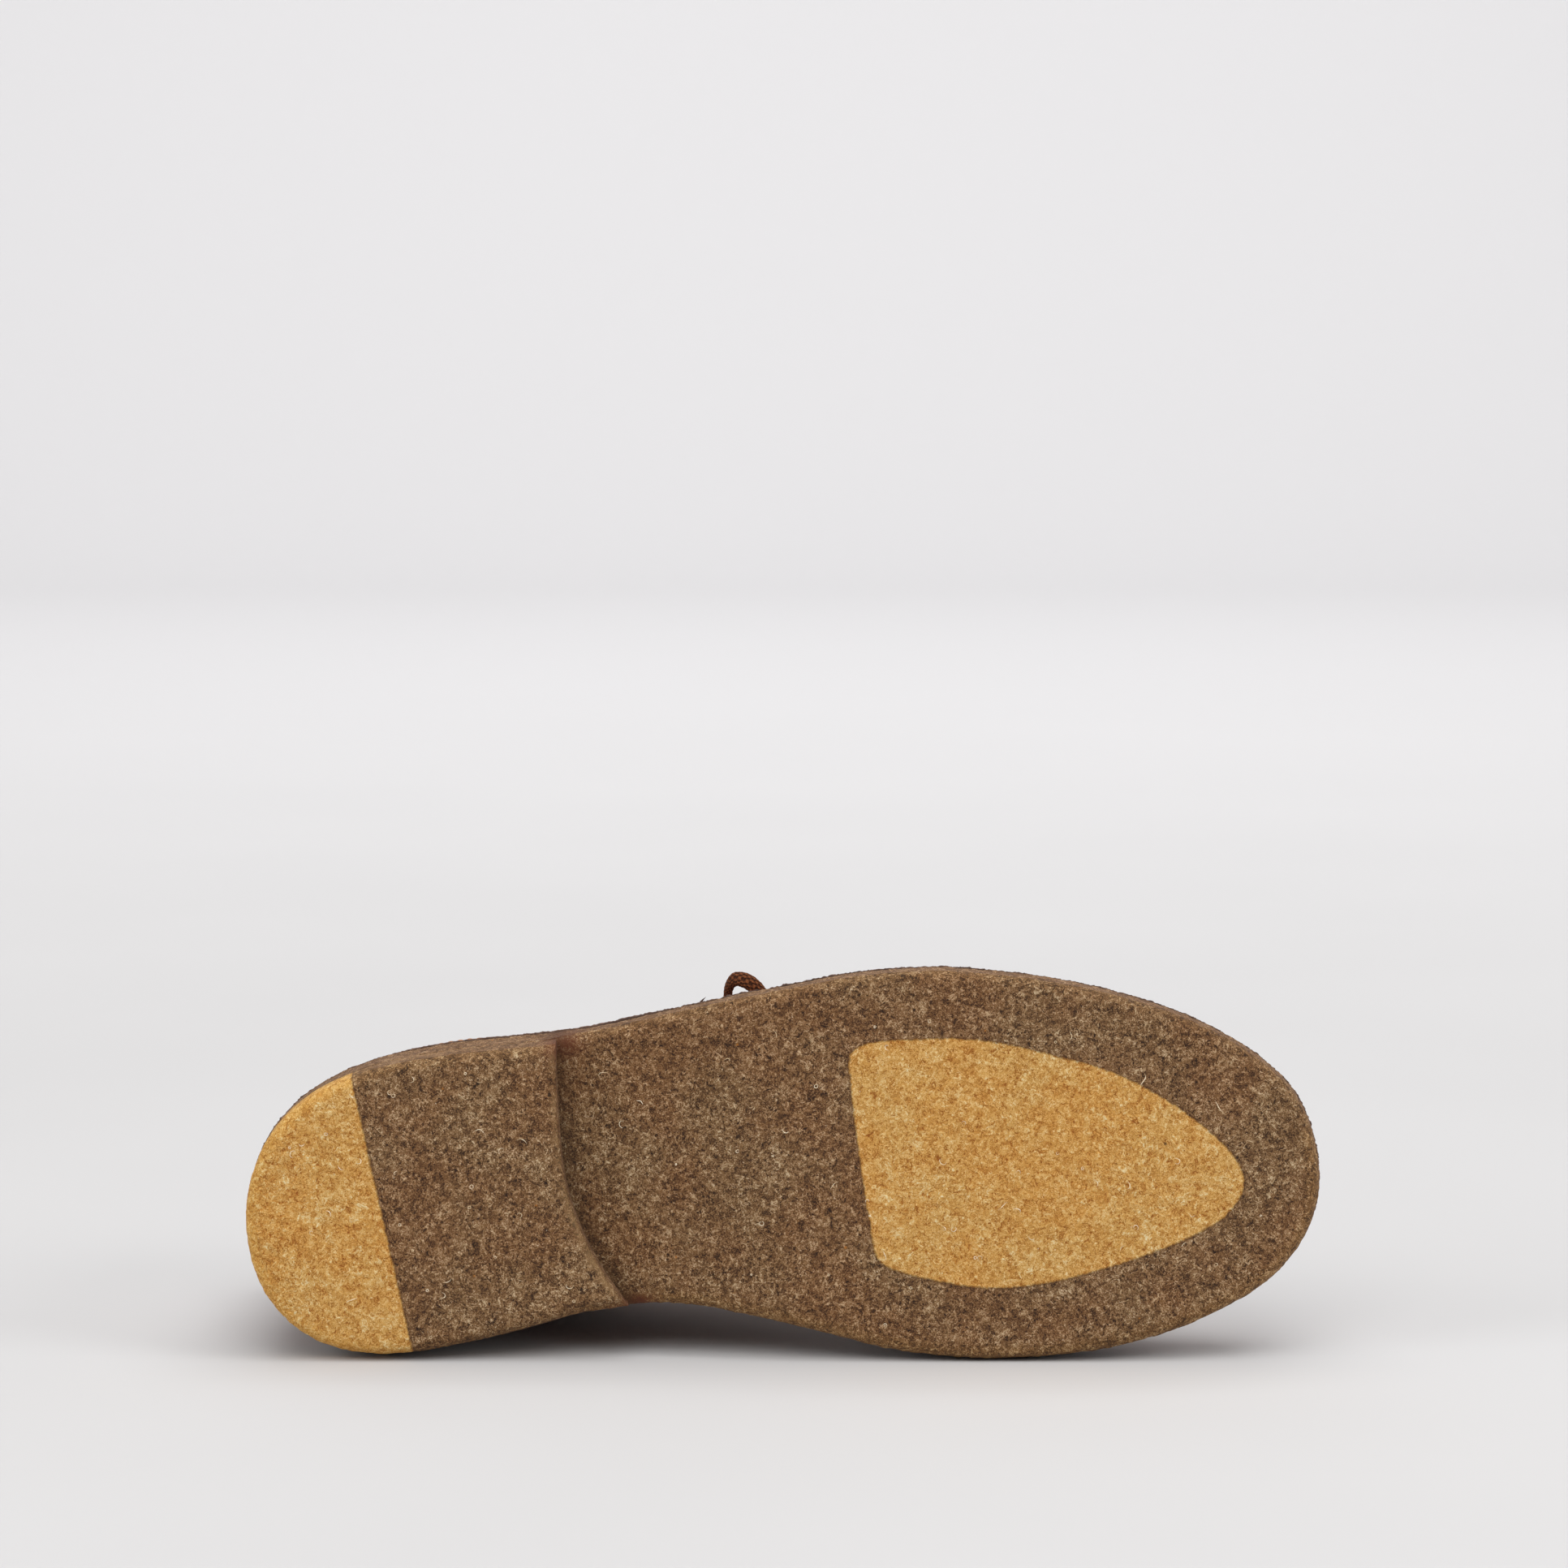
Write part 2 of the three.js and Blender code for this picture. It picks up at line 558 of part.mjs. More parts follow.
// The stitched-down flange: a flat band along the sole's edge, from near the edge to the middle of the wall.
function makeFlange() {
  const loop = [];
  for (let i = 0; i <= STATIONS; i += 1) loop.push([i / STATIONS, -1]);
  for (let i = STATIONS - 1; i > 0; i -= 1) loop.push([i / STATIONS, 1]);
  const corners = [
    { inset: FLANGE_SETBACK, up: 0 },
    { inset: FLANGE_SETBACK, up: FLANGE_THICKNESS },
    { inset: FLANGE_WIDTH + UPPER_WALL / 2, up: FLANGE_THICKNESS },
    { inset: FLANGE_WIDTH + UPPER_WALL / 2, up: 0 },
  ];
  const points = loop.flatMap(([t, side]) =>
    corners.map(({ inset, up }) => {
      const edge = insetEdge(t, side, inset);
      return new THREE.Vector3(edge.x, edge.y, soleTop(edge.x) + GAP + up);
    }),
  );
  const faces = [];
  const count = corners.length;
  loop.forEach((_, i) => {
    const next = (i + 1) % loop.length;
    for (let k = 0; k < count; k += 1) {
      const other = (k + 1) % count;
      const [a, b, c, d] = [i * count + k, next * count + k, next * count + other, i * count + other];
      faces.push([a, b, c], [a, c, d]);
    }
  });
  return solidOf(geometryOf(points, faces));
}

// A prism through the boot from a shape in side view.
function sidePrism(points, halfWidth) {
  const shape = new THREE.Shape(points);
  const prism = new THREE.ExtrudeGeometry(shape, { depth: 2 * halfWidth, bevelEnabled: false });
  prism.translate(0, 0, -halfWidth);
  prism.rotateX(Math.PI / 2);
  return solidOf(prism);
}

const seatHeight = HEEL_LIFT + RUNNER_THICKNESS;
const sidePlace = (along, up) => new THREE.Vector2(along * SOLE_LENGTH, seatHeight + up * COLLAR_HEIGHT);
const FAR = { back: -0.2, front: 0.7, low: -0.3, high: 1.6 };

// Everything behind the quarters' front edge
function quarterRegion() {
  const edge = new THREE.SplineCurve(QUARTER_EDGE.map(({ along, up }) => sidePlace(along, up)));
  return sidePrism(
    [
      ...edge.getPoints(14),
      sidePlace(QUARTER_EDGE.at(-1).along, FAR.high),
      sidePlace(FAR.back, FAR.high),
      sidePlace(FAR.back, FAR.low),
      sidePlace(QUARTER_EDGE[0].along, FAR.low),
    ],
    BALL_WIDTH,
  );
}

// Everything above the collar line, which dips at the sides
function aboveCollar() {
  const dip = COLLAR_DIP / COLLAR_HEIGHT;
  const line = new THREE.SplineCurve([
    sidePlace(FAR.back, 1),
    ...COLLAR_LINE.map(({ along, dips, rises }) => sidePlace(along, 1 - dips * dip + rises)),
  ]);
  const above = [sidePlace(FAR.front, FAR.high), sidePlace(FAR.back, FAR.high)];
  return sidePrism([...line.getPoints(20), ...above], BALL_WIDTH);
}

// Everything under the sole's top, where the shell's base is trimmed
function underSole() {
  const top = [];
  for (let i = 0; i <= STATIONS; i += 1) {
    const x = alongAt(i / STATIONS);
    top.push(new THREE.Vector2(x, soleTop(x) + GAP));
  }
  top.push(new THREE.Vector2(SOLE_LENGTH, -HEEL_LIFT), new THREE.Vector2(0, -HEEL_LIFT));
  return sidePrism(top, BALL_WIDTH);
}

function backstayRegion() {
  const box = new THREE.BoxGeometry(SOLE_LENGTH * 0.2, BACKSTAY_WIDTH, COLLAR_HEIGHT * 2);
  box.translate(0, HEEL_CENTRE * HEEL_WIDTH, seatHeight + COLLAR_HEIGHT);
  return solidOf(box);
}

// The throat's slit, drawn on the slope of the instep and cut square to it: round at its end, wider at the top.
function throatSlit() {
  const end = sliceAt(THROAT_END).ridge;
  const top = sliceAt(THROAT_TOP).ridge;
  const slope = top.clone().sub(end);
  const length = slope.length() * THROAT_OVERSHOOT;
  const widthTop = THROAT_WIDTH_LOW + (THROAT_WIDTH_TOP - THROAT_WIDTH_LOW) * THROAT_OVERSHOOT;
  const radius = THROAT_WIDTH_LOW / 2;
  const shape = new THREE.Shape();
  shape.moveTo(length, -widthTop / 2);
  shape.lineTo(length, widthTop / 2);
  shape.lineTo(radius, radius);
  shape.absarc(radius, 0, radius, Math.PI / 2, (3 * Math.PI) / 2, false);
  const reach = ANKLE_WIDTH / 2;
  const slit = new THREE.ExtrudeGeometry(shape, { depth: 2 * reach, bevelEnabled: false, curveSegments: 8 });
  slit.translate(0, 0, -reach);
  const along = slope.clone().normalize();
  const across = new THREE.Vector3(0, 1, 0);
  const basis = new THREE.Matrix4().makeBasis(along, across, along.clone().cross(across));
  slit.applyMatrix4(basis.setPosition(end));
  return solidOf(slit);
}

function eyeletPlaces() {
  const names = ["lower", "upper"];
  return EYELET_SLICES.flatMap((v, pair) =>
    [-1, 1].map((side) => ({
      name: "eyelet_" + names[pair] + (side < 0 ? "_lateral" : "_medial"),
      ...onUpper(v, side, EYELET_REACH, 0),
    })),
  );
}

const upright = new THREE.Vector3(0, 1, 0);
function turned(geometry, place) {
  const spin = new THREE.Quaternion().setFromUnitVectors(upright, place.normal);
  geometry.applyMatrix4(new THREE.Matrix4().makeRotationFromQuaternion(spin).setPosition(place.point));
  return geometry;
}

function makeUpper() {
  const quarterDepth = UPPER_WALL / 2;
  const quarters = shell(QUARTER_STEP, -quarterDepth).intersect(quarterRegion());
  const backstay = shell(QUARTER_STEP + BACKSTAY_STEP, -quarterDepth).intersect(backstayRegion());
  let upper = shell(0, -UPPER_WALL).add(quarters).add(backstay);
  upper = upper.subtract(aboveCollar()).subtract(throatSlit()).subtract(underSole()).add(makeFlange());
  const radius = EYELET_BARREL / 2 + EYELET_CLEARANCE;
  for (const place of eyeletPlaces()) {
    const punch = new THREE.CylinderGeometry(radius, radius, PUNCH_LENGTH, EYELET_SIDES);
    upper = upper.subtract(solidOf(turned(punch, place)));
  }
  return upper;
}

// An eyelet: a short barrel through the wall with a rim outside.
function makeEyelet(place) {
  const under = -UPPER_WALL - GAP;
  const seat = QUARTER_STEP + GAP;
  const top = seat + EYELET_RIM_THICKNESS;
  const profile = [
    [EYELET_BORE / 2, under],
    [EYELET_BARREL / 2, under],
    [EYELET_BARREL / 2, seat],
    [EYELET_RIM / 2, seat],
    [EYELET_RIM / 2 - EYELET_CHAMFER, top],
    [EYELET_BORE / 2, top],
    [EYELET_BORE / 2, under],
  ].map(([r, h]) => new THREE.Vector2(r, h));
  return solidOf(turned(new THREE.LatheGeometry(profile, EYELET_SIDES), place));
}

// The tongue: a plate that follows the inside of the instep and has sunk a little under the throat.
function makeTongue() {
  const rows = 12;
  const columns = 8;
  const { from, deep, round, to } = TONGUE_SLICES;
  const sheets = [0, TONGUE_THICKNESS].map((depth) =>
    Array.from({ length: rows + 1 }, (_, i) => {
      const v = lerp(from, to, i / rows);
      const drop = UPPER_WALL + lerp(TONGUE_START_DROP, TONGUE_DROP, smoothstep(v, from, deep));
      const taper = 1 - TONGUE_TAPER * clamp((v - round) / (to - round), 0, 1) ** 2;
      return Array.from({ length: columns + 1 }, (_, j) => {
        const u = (2 * j) / columns - 1;
        return onUpper(v, Math.sign(u) || 1, (Math.abs(u) * TONGUE_WIDTH * taper) / 2, -drop - depth).point;
      });
    }),
  );
  const points = sheets.flat(2);
  const at = (sheet, i, j) => (sheet * (rows + 1) + i) * (columns + 1) + j;
  const faces = [];
  const quad = (a, b, c, d) => faces.push([a, b, c], [a, c, d]);
  for (let i = 0; i < rows; i += 1) {
    for (let j = 0; j < columns; j += 1) {
      quad(at(0, i, j), at(0, i, j + 1), at(0, i + 1, j + 1), at(0, i + 1, j));
      quad(at(1, i, j), at(1, i + 1, j), at(1, i + 1, j + 1), at(1, i, j + 1));
    }
    quad(at(0, i, 0), at(0, i + 1, 0), at(1, i + 1, 0), at(1, i, 0));
    quad(at(0, i, columns), at(1, i, columns), at(1, i + 1, columns), at(0, i + 1, columns));
  }
  for (let j = 0; j < columns; j += 1) {
    quad(at(0, 0, j), at(1, 0, j), at(1, 0, j + 1), at(0, 0, j + 1));
    quad(at(0, rows, j), at(0, rows, j + 1), at(1, rows, j + 1), at(1, rows, j));
  }
  return solidOf(geometryOf(points, faces));
}

function makeInsole() {
  const inset = () => FLANGE_WIDTH + UPPER_WALL + INSOLE_CLEARANCE;
  return ringSolid([
    { inset, height: (x) => soleTop(x) + GAP + INSOLE_THICKNESS },
    { inset, height: (x) => soleTop(x) + GAP },
  ]);
}

// A round lace along a smooth route through its points.
function laceTube(points, steps) {
  const route = new THREE.CatmullRomCurve3(points, false, "centripetal");
  const section = new THREE.Shape();
  const radius = LACE_DIAMETER / 2;
  for (let k = 0; k < LACE_SIDES; k += 1) {
    const angle = (2 * Math.PI * k) / LACE_SIDES;
    const corner = [radius * Math.cos(angle), radius * Math.sin(angle)];
    if (k === 0) section.moveTo(...corner);
    else section.lineTo(...corner);
  }
  const settings = { steps, extrudePath: route, bevelEnabled: false };
  return solidOf(new THREE.ExtrudeGeometry(section, settings));
}

// Where the knot is tied, and places beside it
const knotPlace = onUpper(KNOT_SLICE, 1, 0, KNOT.above);
function besideKnot(side, gap) {
  return knotPlace.point.clone().add(new THREE.Vector3(0, side * (KNOT.across / 2 + gap), 0));
}

// The lace from the lower bar through the eyelets, crossing inside and coming out beside the knot.
function makeLaceBars() {
  const radius = LACE_DIAMETER / 2;
  const rimTop = QUARTER_STEP + GAP + EYELET_RIM_THICKNESS;
  const over = rimTop + GAP + radius + 0.3;
  const under = -(UPPER_WALL + GAP + radius + 0.3);
  const [low, high] = EYELET_SLICES;
  const half = (side) => [
    onUpper(low, side, 0, over).point,
    onUpper(low, side, EYELET_REACH - 5, over + 0.2).point,
    onUpper(low, side, EYELET_REACH - 1.5, over - 0.2).point,
    onUpper(low, side, EYELET_REACH, rimTop - 0.6).point,
    onUpper(low, side, EYELET_REACH, -UPPER_WALL).point,
    onUpper(low + 0.1, side, EYELET_REACH - 1.5, under - 0.2).point,
    onUpper(low + 0.4, side, EYELET_REACH - 6, under - 0.6).point,
    onUpper((low + high) / 2, side, 0, under - 0.9).point,
    onUpper(high - 0.4, -side, EYELET_REACH - 6, under - 0.6).point,
    onUpper(high - 0.1, -side, EYELET_REACH - 1.5, under - 0.2).point,
    onUpper(high, -side, EYELET_REACH, -UPPER_WALL).point,
    onUpper(high, -side, EYELET_REACH, rimTop - 0.6).point,
    onUpper(high, -side, EYELET_REACH - 1.5, over - 0.1).point,
    besideKnot(-side, 4),
    besideKnot(-side, GAP),
  ];
  return laceTube(half(-1), 42).add(laceTube(half(1), 42));
}

function makeKnot() {
  const { point, normal } = knotPlace;
  const knot = new THREE.SphereGeometry(0.5, 12, 8);
  knot.scale(KNOT.along, KNOT.high, KNOT.across);
  const along = new THREE.Vector3(0, 1, 0).cross(normal).normalize();
  const basis = new THREE.Matrix4().makeBasis(along, normal, along.clone().cross(normal));
  knot.applyMatrix4(basis.setPosition(point));
  return solidOf(knot);
}

// Colours and finishes
const crepe = new THREE.MeshStandardMaterial({ color: 0x7a5c43, roughness: 0.9 });
const honeyCrepe = new THREE.MeshStandardMaterial({ color: 0xc6975b, roughness: 0.85 });
const suede = new THREE.MeshStandardMaterial({ color: 0x7d4a2c, roughness: 1 });
const board = new THREE.MeshStandardMaterial({ color: 0xb38a62, roughness: 0.9 });
const brass = new THREE.MeshStandardMaterial({ color: 0x6a4a34, roughness: 0.4, metalness: 0.8 });
const braid = new THREE.MeshStandardMaterial({ color: 0x87503a, roughness: 0.9 });

const pieces = [
  { name: "outsole", solid: makeOutsole(), material: crepe, density: CREPE_DENSITY },
  { name: "heel", solid: makeHeel(), material: honeyCrepe, density: CREPE_DENSITY },
  { name: "upper", solid: makeUpper(), material: suede, density: SUEDE_DENSITY },
  { name: "tongue", solid: makeTongue(), material: suede, density: SUEDE_DENSITY },
  { name: "insole", solid: makeInsole(), material: board, density: SUEDE_DENSITY },
  ...eyeletPlaces().map((place) => ({ name: place.name, solid: makeEyelet(place), material: brass, density: 0 })),
  { name: "lace_bars", solid: makeLaceBars(), material: braid, density: 0 },
  { name: "lace_knot", solid: makeKnot(), material: braid, density: 0 },
  ...[
    ["lace_loop_lateral", LATERAL_LOOP, 26],
    ["lace_loop_medial", MEDIAL_LOOP, 24],
    ["lace_end_lateral", LATERAL_END, 12],
    ["lace_end_medial", MEDIAL_END, 12],
  ].map(([name, points, steps]) => ({
    name,
    solid: laceTube(points.map((p) => new THREE.Vector3(...p)), steps),
    material: braid,
    density: 0,
  })),
];

// The boot laid on its side: turned so that the medial edge is down, then tipped until it stands on three points.
const boot = new THREE.Group();
boot.rotation.x = -Math.PI / 2;
for (const { name, solid, material } of pieces) {
  const mesh = new THREE.Mesh(geometryFrom(solid), material);
  mesh.name = name;
  boot.add(mesh);
}
const part = new THREE.Group();
part.add(boot);

// The centre of mass of all pieces, from the tetrahedra under their faces.
function balancePoint() {
  const centre = new THREE.Vector3();
  let weight = 0;
  const [a, b, c] = [new THREE.Vector3(), new THREE.Vector3(), new THREE.Vector3()];
  pieces.forEach(({ density }, k) => {
    const { index, attributes } = boot.children[k].geometry;
    for (let i = 0; i < index.count; i += 3) {
      a.fromBufferAttribute(attributes.position, index.getX(i));
      b.fromBufferAttribute(attributes.position, index.getX(i + 1));
      c.fromBufferAttribute(attributes.position, index.getX(i + 2));
      const share = (density * a.dot(b.clone().cross(c))) / 6;
      centre.addScaledVector(a.clone().add(b).add(c), share / 4);
      weight += share;
    }
  });
  return centre.divideScalar(weight);
}

function restingFace() {
  part.updateMatrixWorld(true);
  const points = [];
  pieces.forEach(({ density }, k) => {
    if (density === 0) return;
    const { position } = boot.children[k].geometry.attributes;
    for (let i = 0; i < position.count; i += 1)
      points.push(new THREE.Vector3().fromBufferAttribute(position, i).applyMatrix4(boot.matrixWorld));
  });
  const centre = balancePoint().applyMatrix4(boot.matrixWorld);
  const faces = new ConvexHull().setFromPoints(points).faces.filter((face) => face.normal.z < -1e-6);
  const heightUnder = ({ normal, constant }) => (constant - normal.x * centre.x - normal.y * centre.y) / normal.z;
  return faces.reduce((best, face) => (heightUnder(face) > heightUnder(best) ? face : best));
}

const down = new THREE.Vector3(0, 0, -1);
part.quaternion.setFromUnitVectors(restingFace().normal, down);
part.updateMatrixWorld(true);
const bounds = new THREE.Box3();
boot.children.forEach((mesh) => {
  if (!mesh.name.startsWith("lace_loop") && !mesh.name.startsWith("lace_end") && mesh.name !== "lace_knot")
    bounds.expandByObject(mesh, true);
});
part.position.set(-(bounds.min.x + bounds.max.x) / 2, -(bounds.min.y + bounds.max.y) / 2, -bounds.min.z);

const desertBoot = new THREE.Group();
desertBoot.add(part);
export default desertBoot;
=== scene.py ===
# A right desert boot on its side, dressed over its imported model: crepe sole, suede upper, braided lace.
# Shapes are worked out in millimetres in the boot's own frame (x from heel to toe, y to the medial side,
# z up from the tread) and laid into the row frame by the two tread points of the record.
import json
import math

import bpy
import numpy as np
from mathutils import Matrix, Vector, noise


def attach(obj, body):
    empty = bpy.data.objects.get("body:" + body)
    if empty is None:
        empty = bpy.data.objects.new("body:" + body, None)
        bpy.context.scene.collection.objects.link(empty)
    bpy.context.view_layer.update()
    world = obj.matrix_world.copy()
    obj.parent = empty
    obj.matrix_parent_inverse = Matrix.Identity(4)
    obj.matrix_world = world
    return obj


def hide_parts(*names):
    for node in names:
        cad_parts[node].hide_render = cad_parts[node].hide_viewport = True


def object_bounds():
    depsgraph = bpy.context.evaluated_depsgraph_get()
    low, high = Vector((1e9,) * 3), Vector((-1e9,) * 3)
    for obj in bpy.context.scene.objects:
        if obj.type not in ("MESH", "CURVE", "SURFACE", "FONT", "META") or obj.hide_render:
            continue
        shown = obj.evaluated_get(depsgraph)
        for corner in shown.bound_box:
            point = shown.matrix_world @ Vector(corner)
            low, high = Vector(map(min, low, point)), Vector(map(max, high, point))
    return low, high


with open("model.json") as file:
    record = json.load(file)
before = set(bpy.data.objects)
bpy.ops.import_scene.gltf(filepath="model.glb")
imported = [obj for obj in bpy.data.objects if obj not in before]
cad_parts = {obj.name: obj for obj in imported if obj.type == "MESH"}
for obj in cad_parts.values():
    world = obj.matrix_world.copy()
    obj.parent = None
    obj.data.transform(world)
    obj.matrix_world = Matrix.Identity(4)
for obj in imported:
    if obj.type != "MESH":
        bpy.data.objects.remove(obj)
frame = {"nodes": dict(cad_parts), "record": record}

cad_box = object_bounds()
MM = 0.001

# The boot's own frame
HEEL_TREAD_AT = 48.0
mounts = {mount["name"]: mount for mount in frame["record"]["mounts"]}
heel_tread = Vector(mounts["heel_tread"]["pos_m"])
fore_tread = Vector(mounts["forefoot_tread"]["pos_m"])
ALONG = (fore_tread - heel_tread).normalized()
UP = -Vector(mounts["heel_tread"]["axis"]).normalized()
MEDIAL = UP.cross(ALONG)
ORIGIN = heel_tread - ALONG * HEEL_TREAD_AT * MM
AXES = np.array([ALONG, MEDIAL, UP])


def to_row(points):
    return np.asarray(points, float) * MM @ AXES + np.array(ORIGIN)


# Sizes repeated from the part's source, in millimetres
GAP = 0.3
SOLE_LENGTH = 304.0
BALL_WIDTH = 110.0
HEEL_WIDTH = 84.0
RUNNER_THICKNESS = 10.0
HEEL_LIFT = 10.0
TOE_SPRING = 9.0
HEEL_FLARE = 2.5
FORE_FLARE = 0.8
EDGE_ROUND = 3.0
TOP_EDGE_ROUND = 0.8
BREAST_EDGE = 1.1
BREAST_SWEEP_MEDIAL = 14.0
BREAST_SWEEP_LATERAL = 1.2
BREAST_AT = 0.298
BREAST_DEEPEST = -0.11
WAIST_BACK = 0.3
WAIST_FRONT = 0.54
SPRING_FROM = 0.77
WIDTH_FROM = 0.25
WIDTH_TO = 0.6

COLLAR_HEIGHT = 98.0
TOE_HEIGHT = 29.0
ANKLE_WIDTH = 74.0
UPPER_WALL = 1.7
QUARTER_STEP = 1.2
BACKSTAY_STEP = 1.0
BACKSTAY_WIDTH = 18.0
FLANGE_WIDTH = 5.0
FLANGE_THICKNESS = 2.0
FLANGE_SETBACK = 0.2
THROAT_WIDTH_LOW = 9.0
THROAT_WIDTH_TOP = 24.0
THROAT_END = 10.0
HEEL_SEAM_FROM = 15
HEEL_CENTRE = 0.03
FEATHER_FULLNESS = 1.03
BASE_TRIM = 1.8

TONGUE_THICKNESS = 2.2
TONGUE_WIDTH = 46.0
TONGUE_DROP = 5.2
EYELET_BORE = 4.6
EYELET_BARREL = 5.4
EYELET_RIM = 8.6
EYELET_RIM_THICKNESS = 0.8
EYELET_REACH = 15.5
EYELET_SLICES = (10.9, 13.5)
KNOT_SLICE = 13.4
KNOT_ABOVE = 6.6
KNOT_ACROSS = 13.0

# The braid is flat: its width and its thickness
LACE_WIDTH = 4.5
LACE_THICKNESS = 2.7
LACE_TIP_LENGTH = 9
# How far apart the points of its route lie, and its strands: points round it, strands, slant and depth
LACE_STEP = 0.35
BRAID_SIDES = 30
BRAID_STRANDS = 10
BRAID_PITCH = 2.1
BRAID_RELIEF = 0.32

# The sole's outline: share of the length, then shares of the width there on each side
OUTLINE = (
    (0, -0.042, 0.042), (0.0066, 0.113, 0.204), (0.033, 0.286, 0.367), (0.066, 0.387, 0.455),
    (0.132, 0.479, 0.513), (0.197, 0.511, 0.502), (0.263, 0.517, 0.463), (0.329, 0.506, 0.403),
    (0.395, 0.502, 0.378), (0.461, 0.498, 0.396), (0.526, 0.492, 0.43), (0.592, 0.496, 0.478),
    (0.658, 0.493, 0.513), (0.724, 0.465, 0.524), (0.789, 0.422, 0.517), (0.855, 0.357, 0.482),
    (0.905, 0.287, 0.435), (0.954, 0.186, 0.358), (0.984, 0.085, 0.265), (1, -0.109, 0.109),
)
OUTLINE_SHARES = {-1: [row[1] for row in OUTLINE], 1: [row[2] for row in OUTLINE]}

# The upper's slices, with the columns of the source's table
SLICE_COLUMNS = "ridge toe leg base bulge up follow wide low crown foot lean".split()
SLICES = (
    (0.983, 0, 0, 1, 0, 0, 1, 1, 0.7, 2.2, 2.2, 0.109),
    (0.981, 0.3, 0, 0.991, 0, 0, 1, 1, 0.68, 2.25, 2.2, 0.107),
    (0.972, 0.62, 0, 0.976, 0, 0, 1, 1, 0.66, 2.25, 2.2, 0.102),
    (0.951, 0.88, 0, 0.952, 0, 0, 1, 1, 0.66, 2.2, 2.2, 0.095),
    (0.918, 1, 0.02, 0.915, 0, 0, 1, 1, 0.68, 2.1, 2.2, 0.086),
    (0.862, 1, 0.075, 0.85, 0, 0, 1, 1, 0.7, 2, 2.2, 0.077),
    (0.796, 1, 0.145, 0.769, 0, 0, 1, 1, 0.72, 1.9, 2.2, 0.066),
    (0.724, 1, 0.225, 0.68, 0, 0, 1, 1, 0.73, 1.82, 2.2, 0.054),
    (0.658, 1, 0.315, 0.589, 0, 0, 1, 1, 0.73, 1.8, 2.2, 0.041),
    (0.602, 1, 0.415, 0.493, 0, 0, 0.95, 1, 0.7, 1.8, 2.2, 0.03),
    (0.556, 1, 0.515, 0.392, 0, 0, 0.8, 1, 0.64, 1.8, 2.2, 0.02),
    (0.52, 1, 0.595, 0.289, 0, 0, 0.55, 1, 0.58, 1.82, 2.25, 0.014),
    (0.49, 1, 0.655, 0.194, 0, 0, 0.3, 1, 0.54, 1.85, 2.3, 0.01),
    (0.467, 1, 0.7, 0.105, 0, 0, 0.12, 1, 0.52, 1.9, 2.3, 0.01),
    (0.447, 1, 0.735, 0.035, 0, 0, 0.03, 1, 0.51, 1.95, 2.3, 0.01),
    (0.43, 1, 0.762, 0, 0, 0, 0, 1, 0.5, 2, 2.3, 0.01),
    (0.415, 1, 0.79, 0, -0.0075, 0.27, 0, 0.985, 0.5, 2, 2.3, 0.01),
    (0.402, 1, 0.815, 0, 0.0046, 0.54, 0, 0.97, 0.5, 2, 2.25, 0.01),
    (0.391, 1, 0.845, 0, 0.0145, 0.82, 0, 0.985, 0.5, 2, 2.2, 0.01),
    (0.381, 1, 0.88, 0, 0.0115, 1.1, 0, 1, 0.5, 2, 2.2, 0.01),
)

# The front edge of the quarters and the collar line in side view: shares of sole length and collar height
QUARTER_EDGE = ((0.4, -0.2), (0.47, 0.28), (0.56, 0.5), (0.57, 1))
COLLAR_LINE = ((-0.2, 1), (0.02, 1), (0.2, 0.954), (0.36, 0.979), (0.45, 1.01), (0.7, 1.2))

# The lace's routes, from the source. Each point was chosen one by one.
LATERAL_LOOP = (
    (142.5, -3.5, 119.3), (142.2, -6.5, 122.6), (140.5, -14, 123.5), (139.2, -27, 117), (139, -39, 105.5),
    (139.9, -46.4, 96.5), (142.2, -48.9, 92), (145.4, -48.1, 90.4), (148.4, -45, 91), (150.9, -36, 96),
    (151.8, -20, 105.5), (150.4, -6.8, 114.4), (147.5, -3.5, 115.6),
)
MEDIAL_LOOP = (
    (142.5, 5.7, 119.3), (142.2, 9, 122.4), (140.5, 17, 123), (139, 28, 117), (139.5, 36, 108),
    (142.5, 39.2, 101.5), (147, 38.2, 99.5), (150.5, 32, 102), (151.5, 21, 108), (150.4, 9.6, 114.2),
    (147.5, 5.7, 115.6),
)
LATERAL_END = (
    (144.7, 0.1, 120), (144.6, -1, 123.8), (140.5, -7, 129), (133, -16, 130), (127, -25, 126),
    (123.5, -32.5, 118.5),
)
MEDIAL_END = (
    (147.7, 2.1, 117.8), (150, 2.6, 121), (147, 7, 126.5), (139, 14, 130.5), (132, 22, 130),
    (127.5, 29.5, 125), (125.5, 35, 118.5),
)

# Where the dye stops: the straight line across the heel, and the natural patch under the ball of the foot
HEEL_LINE = ((33.9, -36.7), (44.5, 40.8))
PATCH = (
    (173.9, -32.3), (178, -35), (191, -35.2), (205, -34.4), (218.6, -31.6), (232, -27.2), (245.5, -22.2),
    (263, -11.2), (277.9, 3.3), (281.3, 10), (281.3, 14.4), (277.6, 20.1), (271.5, 24.2), (259.6, 28.7),
    (236, 34.5), (222, 36.5), (208, 36.5), (194.5, 33.7), (183.3, 30), (177.3, 26.4), (175.4, 14),
    (174, -4.5), (173.3, -23.1),
)

# Where the photograph is taken from
FRAME_PIXELS = 1932
SENSOR = 36.0
CAMERA_DISTANCE = 1.7
LOOKS_DOWN_ON_SHOE = 9.3
PIXELS_PER_MM = 4.395
SHOE_CENTRE_PIXEL = (966, 1441)
SHOE_CENTRE_HEIGHT = 0.055


